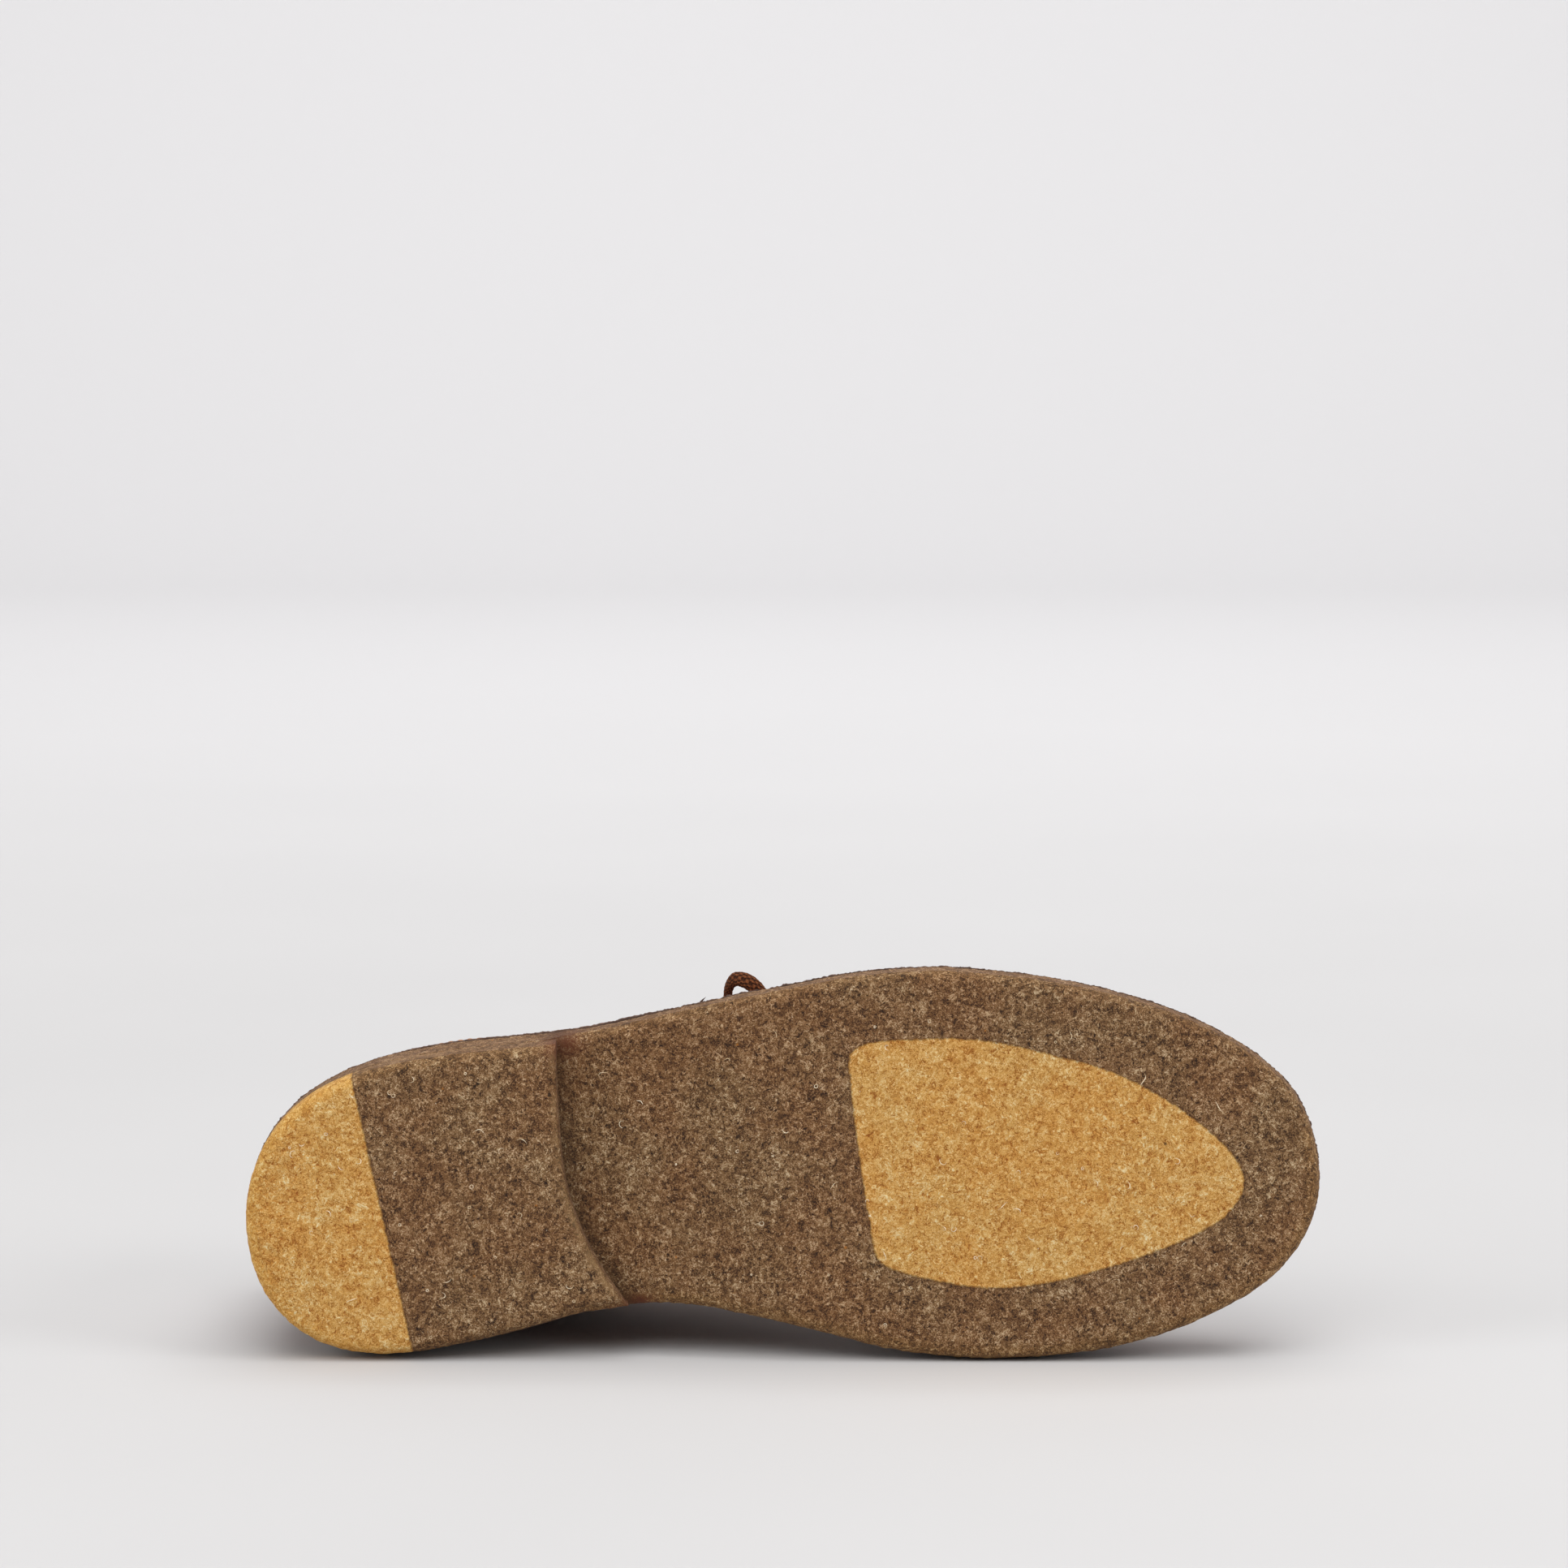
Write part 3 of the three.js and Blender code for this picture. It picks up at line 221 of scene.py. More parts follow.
def make_camera():
    """Aims at the middle of the sole, which lies below the middle of the picture."""
    mid = FRAME_PIXELS / 2
    below = (SHOE_CENTRE_PIXEL[1] - mid) / PIXELS_PER_MM * MM
    off_axis = math.asin(below / CAMERA_DISTANCE)
    down = math.radians(LOOKS_DOWN_ON_SHOE)
    target = Vector((0, cad_box[0].y, SHOE_CENTRE_HEIGHT))
    camera = bpy.data.objects.new("camera", bpy.data.cameras.new("camera"))
    camera.location = target + CAMERA_DISTANCE * Vector((0, -math.cos(down), math.sin(down)))
    camera.rotation_euler = (math.pi / 2 - (down - off_axis), 0, 0)
    camera.data.sensor_width = SENSOR
    depth = CAMERA_DISTANCE * math.cos(off_axis)
    camera.data.lens = PIXELS_PER_MM / MM * depth * SENSOR / FRAME_PIXELS
    bpy.context.scene.collection.objects.link(camera)
    bpy.context.scene.camera = camera


make_camera()


# How close points have to be to become one, for the finest pieces
FINE = 1e-5


# Curves and rows of tables
def smoothstep(value, low, high):
    t = np.clip((value - low) / (high - low), 0, 1)
    return t * t * (3 - 2 * t)


def through(places, values, at):
    """A smooth curve through rows of a table, read at any places along it."""
    places, values = np.asarray(places, float), np.asarray(values, float)
    at = np.asarray(at, float)
    spans = np.diff(places)
    rises = np.diff(values) / spans
    slopes = np.empty(len(places))
    slopes[0], slopes[-1] = rises[0], rises[-1]
    slopes[1:-1] = (rises[:-1] * spans[1:] + rises[1:] * spans[:-1]) / (spans[:-1] + spans[1:])
    i = np.clip(np.searchsorted(places, at, side="left") - 1, 0, len(places) - 2)
    t = np.clip((at - places[i]) / spans[i], 0, 1)
    blend = t * t * (3 - 2 * t)
    leave = t * (1 - t) ** 2 * spans[i] * slopes[i]
    arrive = t * t * (t - 1) * spans[i] * slopes[i + 1]
    return values[i] * (1 - blend) + values[i + 1] * blend + leave + arrive


def route(points, spacing, closed=False):
    """Evenly spaced points on the smooth route through given ones."""
    given = np.asarray(points, float)
    if closed:
        given = np.vstack([given[-1], given, given[:2]])
    else:
        given = np.vstack([2 * given[0] - given[1], given, 2 * given[-1] - given[-2]])
    steps = np.linspace(0, 1, 25)[:, None]
    run = []
    for p0, p1, p2, p3 in zip(given, given[1:], given[2:], given[3:]):
        d0, d1, d2 = [max(np.linalg.norm(b - a), 1e-6) ** 0.5 for a, b in ((p0, p1), (p1, p2), (p2, p3))]
        leave = ((p1 - p0) / d0 - (p2 - p0) / (d0 + d1) + (p2 - p1) / d1) * d1
        arrive = ((p2 - p1) / d1 - (p3 - p1) / (d1 + d2) + (p3 - p2) / d2) * d1
        blend = steps**2 * (3 - 2 * steps)
        curve = p1 * (1 - blend) + p2 * blend
        curve = curve + steps * (1 - steps) ** 2 * leave + steps**2 * (steps - 1) * arrive
        run.append(curve if not run else curve[1:])
    return evenly(np.vstack(run), spacing)


def gone_along(points):
    """The distance gone along a line, at each of its points."""
    return np.concatenate([[0], np.cumsum(np.linalg.norm(np.diff(points, axis=0), axis=1))])


def read_along(places, run, rows):
    """Rows of numbers, read at any places of their run."""
    return np.stack([np.interp(places, run, numbers) for numbers in rows.T], axis=1)


def evenly(points, spacing):
    run = gone_along(points)
    count = max(2, int(round(run[-1] / spacing)) + 1)
    return read_along(np.linspace(0, run[-1], count), run, points)


def bell(value, width):
    return np.exp(-((value / width) ** 2))


def stretch_of(x, start, full, fading, end):
    """1 from full to fading, falling to 0 at start and end."""
    return smoothstep(x, start, full) * smoothstep(x, end, fading)


def unit(vectors):
    return vectors / np.maximum(np.linalg.norm(vectors, axis=-1, keepdims=True), 1e-12)


# Meshes
class Mesh:
    """Grids and loose triangles joined into one mesh, in the boot's frame, with equal points merged."""

    def __init__(self):
        self.points = []
        self.faces = []
        self.kinds = []
        self.count = 0

    def add(self, points, faces, kind=0):
        points = np.asarray(points, float).reshape(-1, 3)
        faces = np.asarray(faces, int).reshape(-1, 3)
        self.points.append(points)
        self.faces.append(faces + self.count)
        self.kinds.append(np.full(len(faces), kind))
        self.count += len(points)

    def grid(self, points, flip=False, kind=0, keep=None):
        """A grid of rows and columns. Its faces look along rows x columns. keep says which cells stay."""
        rows, columns = points.shape[:2]
        index = np.arange(rows * columns).reshape(rows, columns)
        a, b = index[:-1, :-1], index[:-1, 1:]
        c, d = index[1:, 1:], index[1:, :-1]
        if keep is not None:
            a, b, c, d = a[keep], b[keep], c[keep], d[keep]
        a, b, c, d = a.ravel(), b.ravel(), c.ravel(), d.ravel()
        faces = np.concatenate([np.stack([a, d, c], 1), np.stack([a, c, b], 1)])
        self.add(points, faces[:, ::-1] if flip else faces, kind)

    def fan(self, ring, centre, flip=False):
        """A disc of triangles between a ring and a point in its middle."""
        count = len(ring)
        faces = np.array([[count, k, (k + 1) % count] for k in range(count)])
        self.add(np.vstack([ring, centre]), faces[:, ::-1] if flip else faces)

    def rims(self, outer, inner, wanted, flip, kind):
        """Walls that close a shell along the wanted edges, each given with its cells or None for all."""
        edges = {
            "last_row": np.stack([outer[-1], inner[-1]]),
            "first_row": np.stack([inner[0], outer[0]]),
            "last_column": np.stack([outer[:, -1], inner[:, -1]], 1),
            "first_column": np.stack([inner[:, 0], outer[:, 0]], 1),
        }
        for edge, keep in wanted.items():
            self.grid(edges[edge], flip, kind, keep)

    def merged(self, tolerance=1e-4):
        points = np.vstack(self.points)
        faces = np.vstack(self.faces)
        kinds = np.concatenate(self.kinds)
        keys = keys_of(points, tolerance)
        _, first, index = np.unique(keys, axis=0, return_index=True, return_inverse=True)
        faces = index.reshape(-1)[faces]
        whole = (faces[:, 0] != faces[:, 1]) & (faces[:, 1] != faces[:, 2]) & (faces[:, 0] != faces[:, 2])
        return points[first], faces[whole], kinds[whole]


def keys_of(points, tolerance):
    return np.round(points / tolerance).astype(np.int64)


def normals_of(points, faces):
    a, b, c = points[faces[:, 0]], points[faces[:, 1]], points[faces[:, 2]]
    across = np.cross(b - a, c - a)
    normals = np.zeros_like(points)
    for corner in range(3):
        np.add.at(normals, faces[:, corner], across)
    return unit(normals)


def make_object(name, points, faces, materials, kinds=None, sharp=50, **attributes):
    """A smooth mesh object that rides on the boot. Its attributes are numbers at its points."""
    data = bpy.data.meshes.new(name)
    data.from_pydata(to_row(points).tolist(), [], faces.tolist())
    for material in materials:
        data.materials.append(material)
    if kinds is not None:
        data.polygons.foreach_set("material_index", np.asarray(kinds, np.int32))
    for key, values in attributes.items():
        layer = data.attributes.new(key, "FLOAT", "POINT")
        layer.data.foreach_set("value", np.asarray(values, np.float32))
    data.shade_smooth()
    data.set_sharp_from_angle(angle=math.radians(sharp))
    made = bpy.data.objects.new(name, data)
    bpy.context.scene.collection.objects.link(made)
    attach(made, "root")
    return made


def build(mesh, name, materials, sharp=50, tolerance=1e-4):
    points, faces, kinds = mesh.merged(tolerance)
    return make_object(name, points, faces, materials, kinds, sharp)


def tube(line, radii, sides):
    """Rings of points round a line, with a radius for each of its points."""
    tangents = unit(np.gradient(line, axis=0))
    first = unit(np.cross(tangents, [0.0, 0.0, 1.0]))
    second = np.cross(tangents, first)
    angles = np.linspace(0, 2 * np.pi, sides + 1)[None, :, None]
    ring = first[:, None] * np.cos(angles) + second[:, None] * np.sin(angles)
    return line[:, None] + ring * np.reshape(radii, (-1, 1, 1))


def crumble(points, size, octaves=3):
    """Fractal noise at each point, for lumps of that size in millimetres, from about -1 to 1."""
    return np.array([noise.fractal(Vector(p) / size, 0.8, 2.1, octaves) for p in points])


# Materials
def linear(red, green, blue):
    def channel(value):
        share = value / 255
        return share / 12.92 if share <= 0.04045 else ((share + 0.055) / 1.055) ** 2.4

    return (channel(red), channel(green), channel(blue), 1.0)


class Graph:
    """A material's nodes, written as a chain of short calls."""

    def __init__(self, name, roughness=0.8, **sockets):
        self.material = bpy.data.materials.new(name)
        self.material.use_nodes = True
        self.tree = self.material.node_tree
        self.shader = self.tree.nodes["Principled BSDF"]
        self.shader.inputs["Roughness"].default_value = roughness
        for key, value in sockets.items():
            self.shader.inputs[key.replace("_", " ")].default_value = value
        self.here = self.node("ShaderNodeTexCoord").outputs["Object"]

    def feed(self, socket, value):
        if isinstance(value, bpy.types.NodeSocket):
            self.tree.links.new(value, socket)
        else:
            socket.default_value = value

    def node(self, kind, inputs=(), **settings):
        made = self.tree.nodes.new(kind)
        for key, value in settings.items():
            setattr(made, key, value)
        for key, value in dict(inputs).items():
            self.feed(made.inputs[key], value)
        return made

    def math(self, operation, *values):
        made = self.node("ShaderNodeMath", operation=operation)
        for socket, value in zip(made.inputs, values):
            self.feed(socket, value)
        return made.outputs[0]

    def scaled(self, value, share, base=None):
        """value times share, added to base if there is one."""
        if base is None:
            return self.math("MULTIPLY", value, share)
        return self.math("MULTIPLY_ADD", value, share, base)

    def noise(self, scale, detail, rough, warp=0.0):
        inputs = {"Vector": self.here, "Scale": scale, "Detail": detail, "Roughness": rough}
        inputs["Distortion"] = warp
        return self.node("ShaderNodeTexNoise", inputs).outputs[0]

    def cells(self, scale, chosen, size):
        """Small dots at some of the cells of a random pattern: 1 in a dot, 0 outside."""
        made = self.node("ShaderNodeTexVoronoi", {"Scale": scale, "Vector": self.here})
        apart = self.node("ShaderNodeSeparateColor", {"Color": made.outputs["Color"]})
        near = self.step(made.outputs["Distance"], size, size / 2)
        return self.scaled(near, self.math("GREATER_THAN", apart.outputs["Red"], chosen))

    def curls(self, scale, broken, width):
        """Short curly strands: 1 along them, 0 between."""
        away = self.math("ABSOLUTE", self.math("SUBTRACT", self.noise(scale, 1, 0.4, 1.3), 0.5))
        line = self.step(away, width, width * 0.2)
        return self.scaled(line, self.step(self.noise(broken, 1, 0.5), 0.47, 0.55))

    def attribute(self, name):
        return self.node("ShaderNodeAttribute", attribute_name=name).outputs["Fac"]

    def step(self, value, low, high):
        made = self.node("ShaderNodeMapRange", interpolation_type="SMOOTHSTEP")
        self.feed(made.inputs["Value"], value)
        flipped = low > high
        made.inputs["From Min"].default_value = min(low, high)
        made.inputs["From Max"].default_value = max(low, high)
        made.inputs["To Min"].default_value = 1 if flipped else 0
        made.inputs["To Max"].default_value = 0 if flipped else 1
        return made.outputs["Result"]

    def ramp(self, value, *stops):
        made = self.node("ShaderNodeValToRGB", {"Fac": value})
        band = made.color_ramp
        while len(band.elements) < len(stops):
            band.elements.new(0.5)
        for element, (place, colour) in zip(band.elements, stops):
            element.position = place
            element.color = linear(*colour)
        return made.outputs["Color"]

    def mix(self, share, first, second, blend="MIX"):
        made = self.node("ShaderNodeMix", data_type="RGBA", blend_type=blend)
        self.feed(made.inputs[0], share)
        self.feed(made.inputs[6], first)
        self.feed(made.inputs[7], second)
        return made.outputs[2]

    def colour(self, value):
        self.feed(self.shader.inputs["Base Color"], value)

    def rough(self, value):
        self.feed(self.shader.inputs["Roughness"], value)

    def bump(self, height, distance, strength=1.0):
        inputs = {"Height": height, "Distance": distance * MM, "Strength": strength}
        made = self.node("ShaderNodeBump", inputs)
        self.feed(self.shader.inputs["Normal"], made.outputs["Normal"])


def crepe_material():
    """Crepe rubber: brown dye over natural honey, with fuzzy lumps, pale fibres and bright specks."""
    g = Graph("crepe_rubber", roughness=0.8, Specular_IOR_Level=0.3)
    lumps = g.noise(560, 4, 0.62, 0.9)
    fibres = g.noise(1150, 5, 0.66, 2.4)
    blotches = g.noise(150, 3, 0.55, 0.6)
    clouds = g.noise(42, 2, 0.5)
    grain = g.scaled(fibres, 0.64, g.scaled(lumps, 0.38, -0.07))
    grain = g.scaled(blotches, 0.09, g.math("ADD", grain, 0.015))
    grain = g.scaled(g.curls(430, 250, 0.042), 0.08, grain)
    grain = g.scaled(g.curls(370, 300, 0.036), -0.068, grain)

    # The dye and the natural rubber, each with its own tones near the rim
    brown = g.ramp(
        grain, (0.4, (44, 28, 14)), (0.46, (104, 73, 44)), (0.515, (142, 104, 66)), (0.57, (180, 146, 104)),
        (0.63, (222, 200, 164)),
    )
    honey = g.ramp(
        grain, (0.39, (160, 92, 28)), (0.46, (210, 150, 70)), (0.52, (229, 177, 96)), (0.58, (246, 208, 138)),
        (0.64, (254, 236, 188)),
    )
    cloudy = g.step(clouds, 0.35, 0.65)
    brown = g.mix(cloudy, brown, linear(244, 231, 222), "MULTIPLY")
    honey = g.mix(cloudy, honey, linear(255, 246, 232), "MULTIPLY")
    rim = g.step(g.math("ADD", g.attribute("rim"), g.scaled(lumps, 5.0)), 7.2, 2.2)
    wall = g.attribute("wall")
    brown_rim = g.ramp(grain, (0.4, (70, 46, 20)), (0.52, (142, 100, 52)), (0.62, (206, 168, 112)))
    honey_rim = g.ramp(grain, (0.4, (178, 114, 38)), (0.52, (226, 170, 80)), (0.62, (250, 214, 138)))
    brown = g.mix(g.scaled(rim, 0.8), brown, brown_rim)
    honey = g.mix(g.scaled(rim, 0.9), honey, honey_rim)

    # Where the dye stops, its edge is ragged and a little darker
    ragged = g.scaled(g.noise(700, 3, 0.6), 1.3, g.attribute("honey"))
    ragged = g.math("SUBTRACT", ragged, 0.65)
    tones = g.mix(g.step(ragged, -0.2, 0.2), brown, honey)
    seam = g.step(g.math("ABSOLUTE", ragged), 0.55, 0.1)
    tones = g.mix(g.scaled(seam, 0.5), tones, linear(96, 58, 26))
    side = g.ramp(grain, (0.4, (74, 48, 26)), (0.52, (134, 96, 62)), (0.62, (190, 156, 118)))
    tones = g.mix(wall, tones, side)
    pits = g.cells(130, 0.93, 0.09)
    # Over the tones: real wear with a painted sheen line and streak on the lateral wall, glue stains, painted
    # shade beside the heel's breast, then pale specks, amber specks and dark pits
    layers = (
        (g.attribute("wear_and_sheen"), 0.7, (172, 136, 92)), (g.attribute("glue"), 0.8, (112, 52, 28)),
        (g.attribute("shade"), 0.4, (62, 42, 22)), (g.cells(420, 0.93, 0.1), 0.6, (246, 232, 204)),
        (g.cells(230, 0.97, 0.12), 0.7, (198, 126, 52)), (pits, 0.75, (66, 40, 20)),
    )
    for amount, share, tone in layers:
        tones = g.mix(g.scaled(amount, share), tones, linear(*tone))
    g.colour(tones)

    smooth = g.math("MAXIMUM", rim, wall)
    g.rough(g.math("SUBTRACT", g.scaled(lumps, 0.2, 0.76), g.scaled(smooth, 0.16)))
    height = g.math("SUBTRACT", grain, g.scaled(pits, 0.4))
    g.bump(g.scaled(height, g.math("SUBTRACT", 1.0, g.scaled(smooth, 0.5))), 2.8, 0.8)
    return g.material


def suede_material(name, dark, mid, light):
    """Brushed suede: a soft nap that lies this way and that, darker where it is pressed."""
    g = Graph(name, roughness=0.95, Sheen_Weight=0.35, Sheen_Roughness=0.6)
    g.shader.inputs["Sheen Tint"].default_value = linear(200, 150, 120)
    nap = g.noise(1500, 3, 0.6, 0.8)
    brushed = g.noise(70, 4, 0.6, 1.2)
    clouds = g.noise(16, 3, 0.5, 0.4)
    tone = g.scaled(nap, 0.35, g.scaled(brushed, 0.4, g.scaled(clouds, 0.25)))
    g.colour(g.ramp(tone, (0.38, dark), (0.5, mid), (0.63, light)))
    g.rough(g.scaled(nap, 0.1, 0.88))
    g.bump(g.scaled(brushed, 0.5, nap), 0.35, 0.5)
    return g.material


def leather_material(name, dark, light, roughness):
    g = Graph(name, roughness=roughness)
    pores = g.noise(1300, 4, 0.65)
    wear_and_sheen = g.noise(30, 4, 0.55, 0.5)
    g.colour(g.ramp(g.scaled(pores, 0.3, g.scaled(wear_and_sheen, 0.7)), (0.38, dark), (0.62, light)))
    g.rough(g.scaled(wear_and_sheen, 0.25, roughness - 0.12))
    g.bump(pores, 0.2, 0.4)
    return g.material


def lace_material():
    g = Graph("braided_lace", roughness=0.9, Specular_IOR_Level=0.2)
    fibre = g.noise(2400, 3, 0.6, 1.0)
    # Painted shade: the colour darkens where the braid's relief is low, in the grooves between its strands
    tone = g.scaled(fibre, 0.5, g.scaled(g.attribute("strand"), 0.6))
    g.colour(g.ramp(tone, (0.3, (17, 8, 4)), (0.6, (68, 36, 18)), (0.86, (146, 88, 52))))
    g.bump(fibre, 0.15, 0.5)
    return g.material


def metal_material():
    g = Graph("lacquered_brass", roughness=0.35, Metallic=0.75)
    wear_and_sheen = g.noise(500, 4, 0.6)
    g.colour(g.ramp(wear_and_sheen, (0.4, (74, 50, 34)), (0.62, (112, 82, 58))))
    g.rough(g.scaled(wear_and_sheen, 0.3, 0.22))
    return g.material


def thread_material():
    g = Graph("waxed_thread", roughness=0.6)
    twist = g.noise(1900, 2, 0.5)
    g.colour(g.ramp(twist, (0.4, (132, 88, 58)), (0.6, (176, 128, 88))))
    g.bump(twist, 0.1, 0.5)
    return g.material


def fibre_material():
    g = Graph("pale_fibres", roughness=0.7)
    tone = g.noise(600, 2, 0.5)
    g.colour(g.ramp(tone, (0.4, (222, 196, 154)), (0.6, (252, 238, 208))))
    return g.material


CREPE = crepe_material()
SUEDE = suede_material("suede", (84, 44, 24), (121, 69, 41), (152, 94, 60))
SUEDE_EDGE = suede_material("suede_cut_edge", (26, 17, 13), (48, 32, 25), (84, 60, 46))
LINING = leather_material("lining_leather", (150, 112, 78), (188, 152, 114), 0.6)
SOCK = leather_material("sock_leather", (146, 106, 72), (186, 146, 106), 0.55)
LACE = lace_material()
METAL = metal_material()
THREAD = thread_material()
FIBRE = fibre_material()


# Lace
def braid(points, flats, name):
    """A flat braided lace along a route. flats are the thin side's directions at the route's ends and
    between, or the one at its start, which then turns with the route."""
    path = np.asarray(points, float)
    tangents = unit(np.gradient(path, axis=0))
    given = np.asarray(flats, float)
    thin = read_along(np.linspace(0, 1, len(path)), np.linspace(0, 1, len(given)), given)
    if len(given) == 1:
        for k in range(1, len(path)):
            thin[k] = unit(thin[k - 1] - tangents[k] * (thin[k - 1] @ tangents[k]))
    thin = unit(thin - tangents * (thin * tangents).sum(1, keepdims=True))
    wide = np.cross(tangents, thin)
    angles = np.arange(BRAID_SIDES) / BRAID_SIDES * 2 * np.pi
    # Strands cross over and under at a slant, as in a flat tubular braid
    turns = angles / (2 * np.pi) * BRAID_STRANDS
    run = gone_along(path) / BRAID_PITCH
    p = turns[None, :] + run[:, None]
    q = turns[None, :] - run[:, None]
    over = (np.floor(p) + np.floor(q)) % 2 < 1
    across = np.where(over, p % 1, q % 1)
    lengthwise = np.where(over, q % 1, p % 1)
    relief = np.sin(np.pi * across) ** 0.6 * (0.55 + 0.45 * np.sin(np.pi * lengthwise))
    uneven = 1 + 0.05 * crumble(path, 5, 2)[:, None]
    ring = 0
    for axis, swing, size in ((wide, np.cos(angles), LACE_WIDTH), (thin, np.sin(angles), LACE_THICKNESS)):
        half = (size / 2 - 0.1) * uneven + BRAID_RELIEF * (relief - 0.6)
        ring = ring + axis[:, None] * (np.sign(swing) * np.abs(swing) ** 0.8 * half)[..., None]
    rings = path[:, None] + ring
    mesh = Mesh()
    mesh.grid(np.concatenate([rings, rings[:, :1]], axis=1))
    mesh.fan(rings[0], path[0])
    mesh.fan(rings[-1], path[-1], flip=True)
    points, faces, _ = mesh.merged(FINE)
    # The relief at each point is kept as an attribute, which the lace's colour uses for painted shade in the
    # grooves
    relief_at = dict(zip(map(tuple, keys_of(rings.reshape(-1, 3), FINE)), relief.ravel()))
    depth = [relief_at.get(tuple(key), 0.5) for key in keys_of(points, FINE)]
    return make_object(name, points, faces, [LACE], sharp=180, strand=depth)


def free_lace(name, points, flats):
    path = route(points, LACE_STEP)
    made = braid(path, flats, name)
    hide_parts(name.replace("braid", "lace"))
    to_row(path[0]).tolist()
    to_row(path).tolist()


def lace_tip(name, path):
    """The rolled tip on a lace's end, a slim sleeve a little wider at its mouth."""
    stretch = path[-int(LACE_TIP_LENGTH / LACE_STEP):]
    share = np.linspace(0, 1, len(stretch))
    rings = tube(stretch, 1.55 - 0.35 * share + 0.12 * (share < 0.06), 24)
    mesh = Mesh()
    mesh.grid(rings, flip=True)
    mesh.fan(rings[-1][:-1], stretch[-1] + unit(stretch[-1] - stretch[-2]) * 0.5)
    mesh.fan(rings[0][:-1], stretch[0], flip=True)
    return build(mesh, name, [METAL])


def make_free_laces():
    for side, points in (("lateral", LATERAL_END), ("medial", MEDIAL_END)):
        tip = lace_tip(f"lace_tip_{side}", route(points, LACE_STEP))
        free_lace(f"braid_end_{side}", points, ((1, 0, 0.3), (0.4, 0.2, 1), (0.2, 0, 1)))
    free_lace(
        "braid_loop_lateral", LATERAL_LOOP,
        (
            (0.3, 0, 1), (0.2, -0.5, 1), (-0.2, -0.8, 0.6), (-0.8, -0.4, 0.3), (-1, 0, 0.1),
            (-0.7, -0.4, -0.4), (-0.1, -0.3, -1), (0.2, 0.4, -1), (0.5, 0.6, -0.6), (0.3, 0.6, -0.6),
            (0.2, 0.2, -1),
        ),
    )
    free_lace(
        "braid_loop_medial", MEDIAL_LOOP,
        (
            (0.3, 0, 1), (0.1, 0.5, 1), (-0.3, 0.8, 0.6), (-0.3, 0.8, 0), (0.1, 0.3, -1), (0.2, -0.4, -1),
            (0.2, 0, -1),
        ),
    )


make_free_laces()


# The sole's shape, as in the source
def turn(share):
    return np.arccos(1 - 2 * np.clip(share, 0, 1)) / np.pi


def along_at(t):
    return SOLE_LENGTH * (1 - np.cos(np.pi * np.asarray(t, float))) / 2


OUTLINE_TURNS = turn(np.array([row[0] for row in OUTLINE]))


def edge_at(t, side):
    x = along_at(t)
    width = HEEL_WIDTH + (BALL_WIDTH - HEEL_WIDTH) * smoothstep(x / SOLE_LENGTH, WIDTH_FROM, WIDTH_TO)
    return np.stack([x, side * through(OUTLINE_TURNS, OUTLINE_SHARES[side], t) * width], axis=-1)


def inset_edge(t, side, inset):
    """A point of the outline moved inward, square to the outline."""
    step = 1e-6
    run = unit(edge_at(np.minimum(t + step, 1), side) - edge_at(np.maximum(t - step, 0), side))
    inward = np.stack([-run[..., 1], run[..., 0]], axis=-1) * -side
    return edge_at(t, side) + inward * np.asarray(inset, float)[..., None]


def underside(x):
    lift = HEEL_LIFT * (1 - smoothstep(x, WAIST_BACK * SOLE_LENGTH, WAIST_FRONT * SOLE_LENGTH))
    forward = np.clip((x / SOLE_LENGTH - SPRING_FROM) / (1 - SPRING_FROM), 0, 1)
    return lift + TOE_SPRING * forward**2


def sole_top(x):
    return underside(x) + RUNNER_THICKNESS


def heel_flare(x):
    """The heel's side stands nearly upright round its back, and flares more toward the waist."""
    return HEEL_FLARE * (0.25 + 0.75 * smoothstep(x, 8, 70))


def flare_at(x, z):
    """How far the sole's side has come in at a height: it flares out from the tread to the foot."""
    past_breast = smoothstep(x, BREAST_AT * SOLE_LENGTH - 6, BREAST_AT * SOLE_LENGTH + 8)
    whole = heel_flare(x) + (FORE_FLARE - heel_flare(x)) * past_breast
    return whole * (sole_top(x) - z) / (sole_top(x) - underside(x) * past_breast)


def breast_x(y):
    """The heel's front, a shallow curve across the waist that sweeps forward on the medial side."""
    deepest = BREAST_DEEPEST * BALL_WIDTH
    medial = y > deepest
    sweep = np.where(medial, BREAST_SWEEP_MEDIAL, BREAST_SWEEP_LATERAL)
    half = np.where(medial, HEEL_WIDTH * 0.38 - deepest, HEEL_WIDTH * 0.54 + deepest)
    return BREAST_AT * SOLE_LENGTH + sweep * ((y - deepest) / half) ** 2


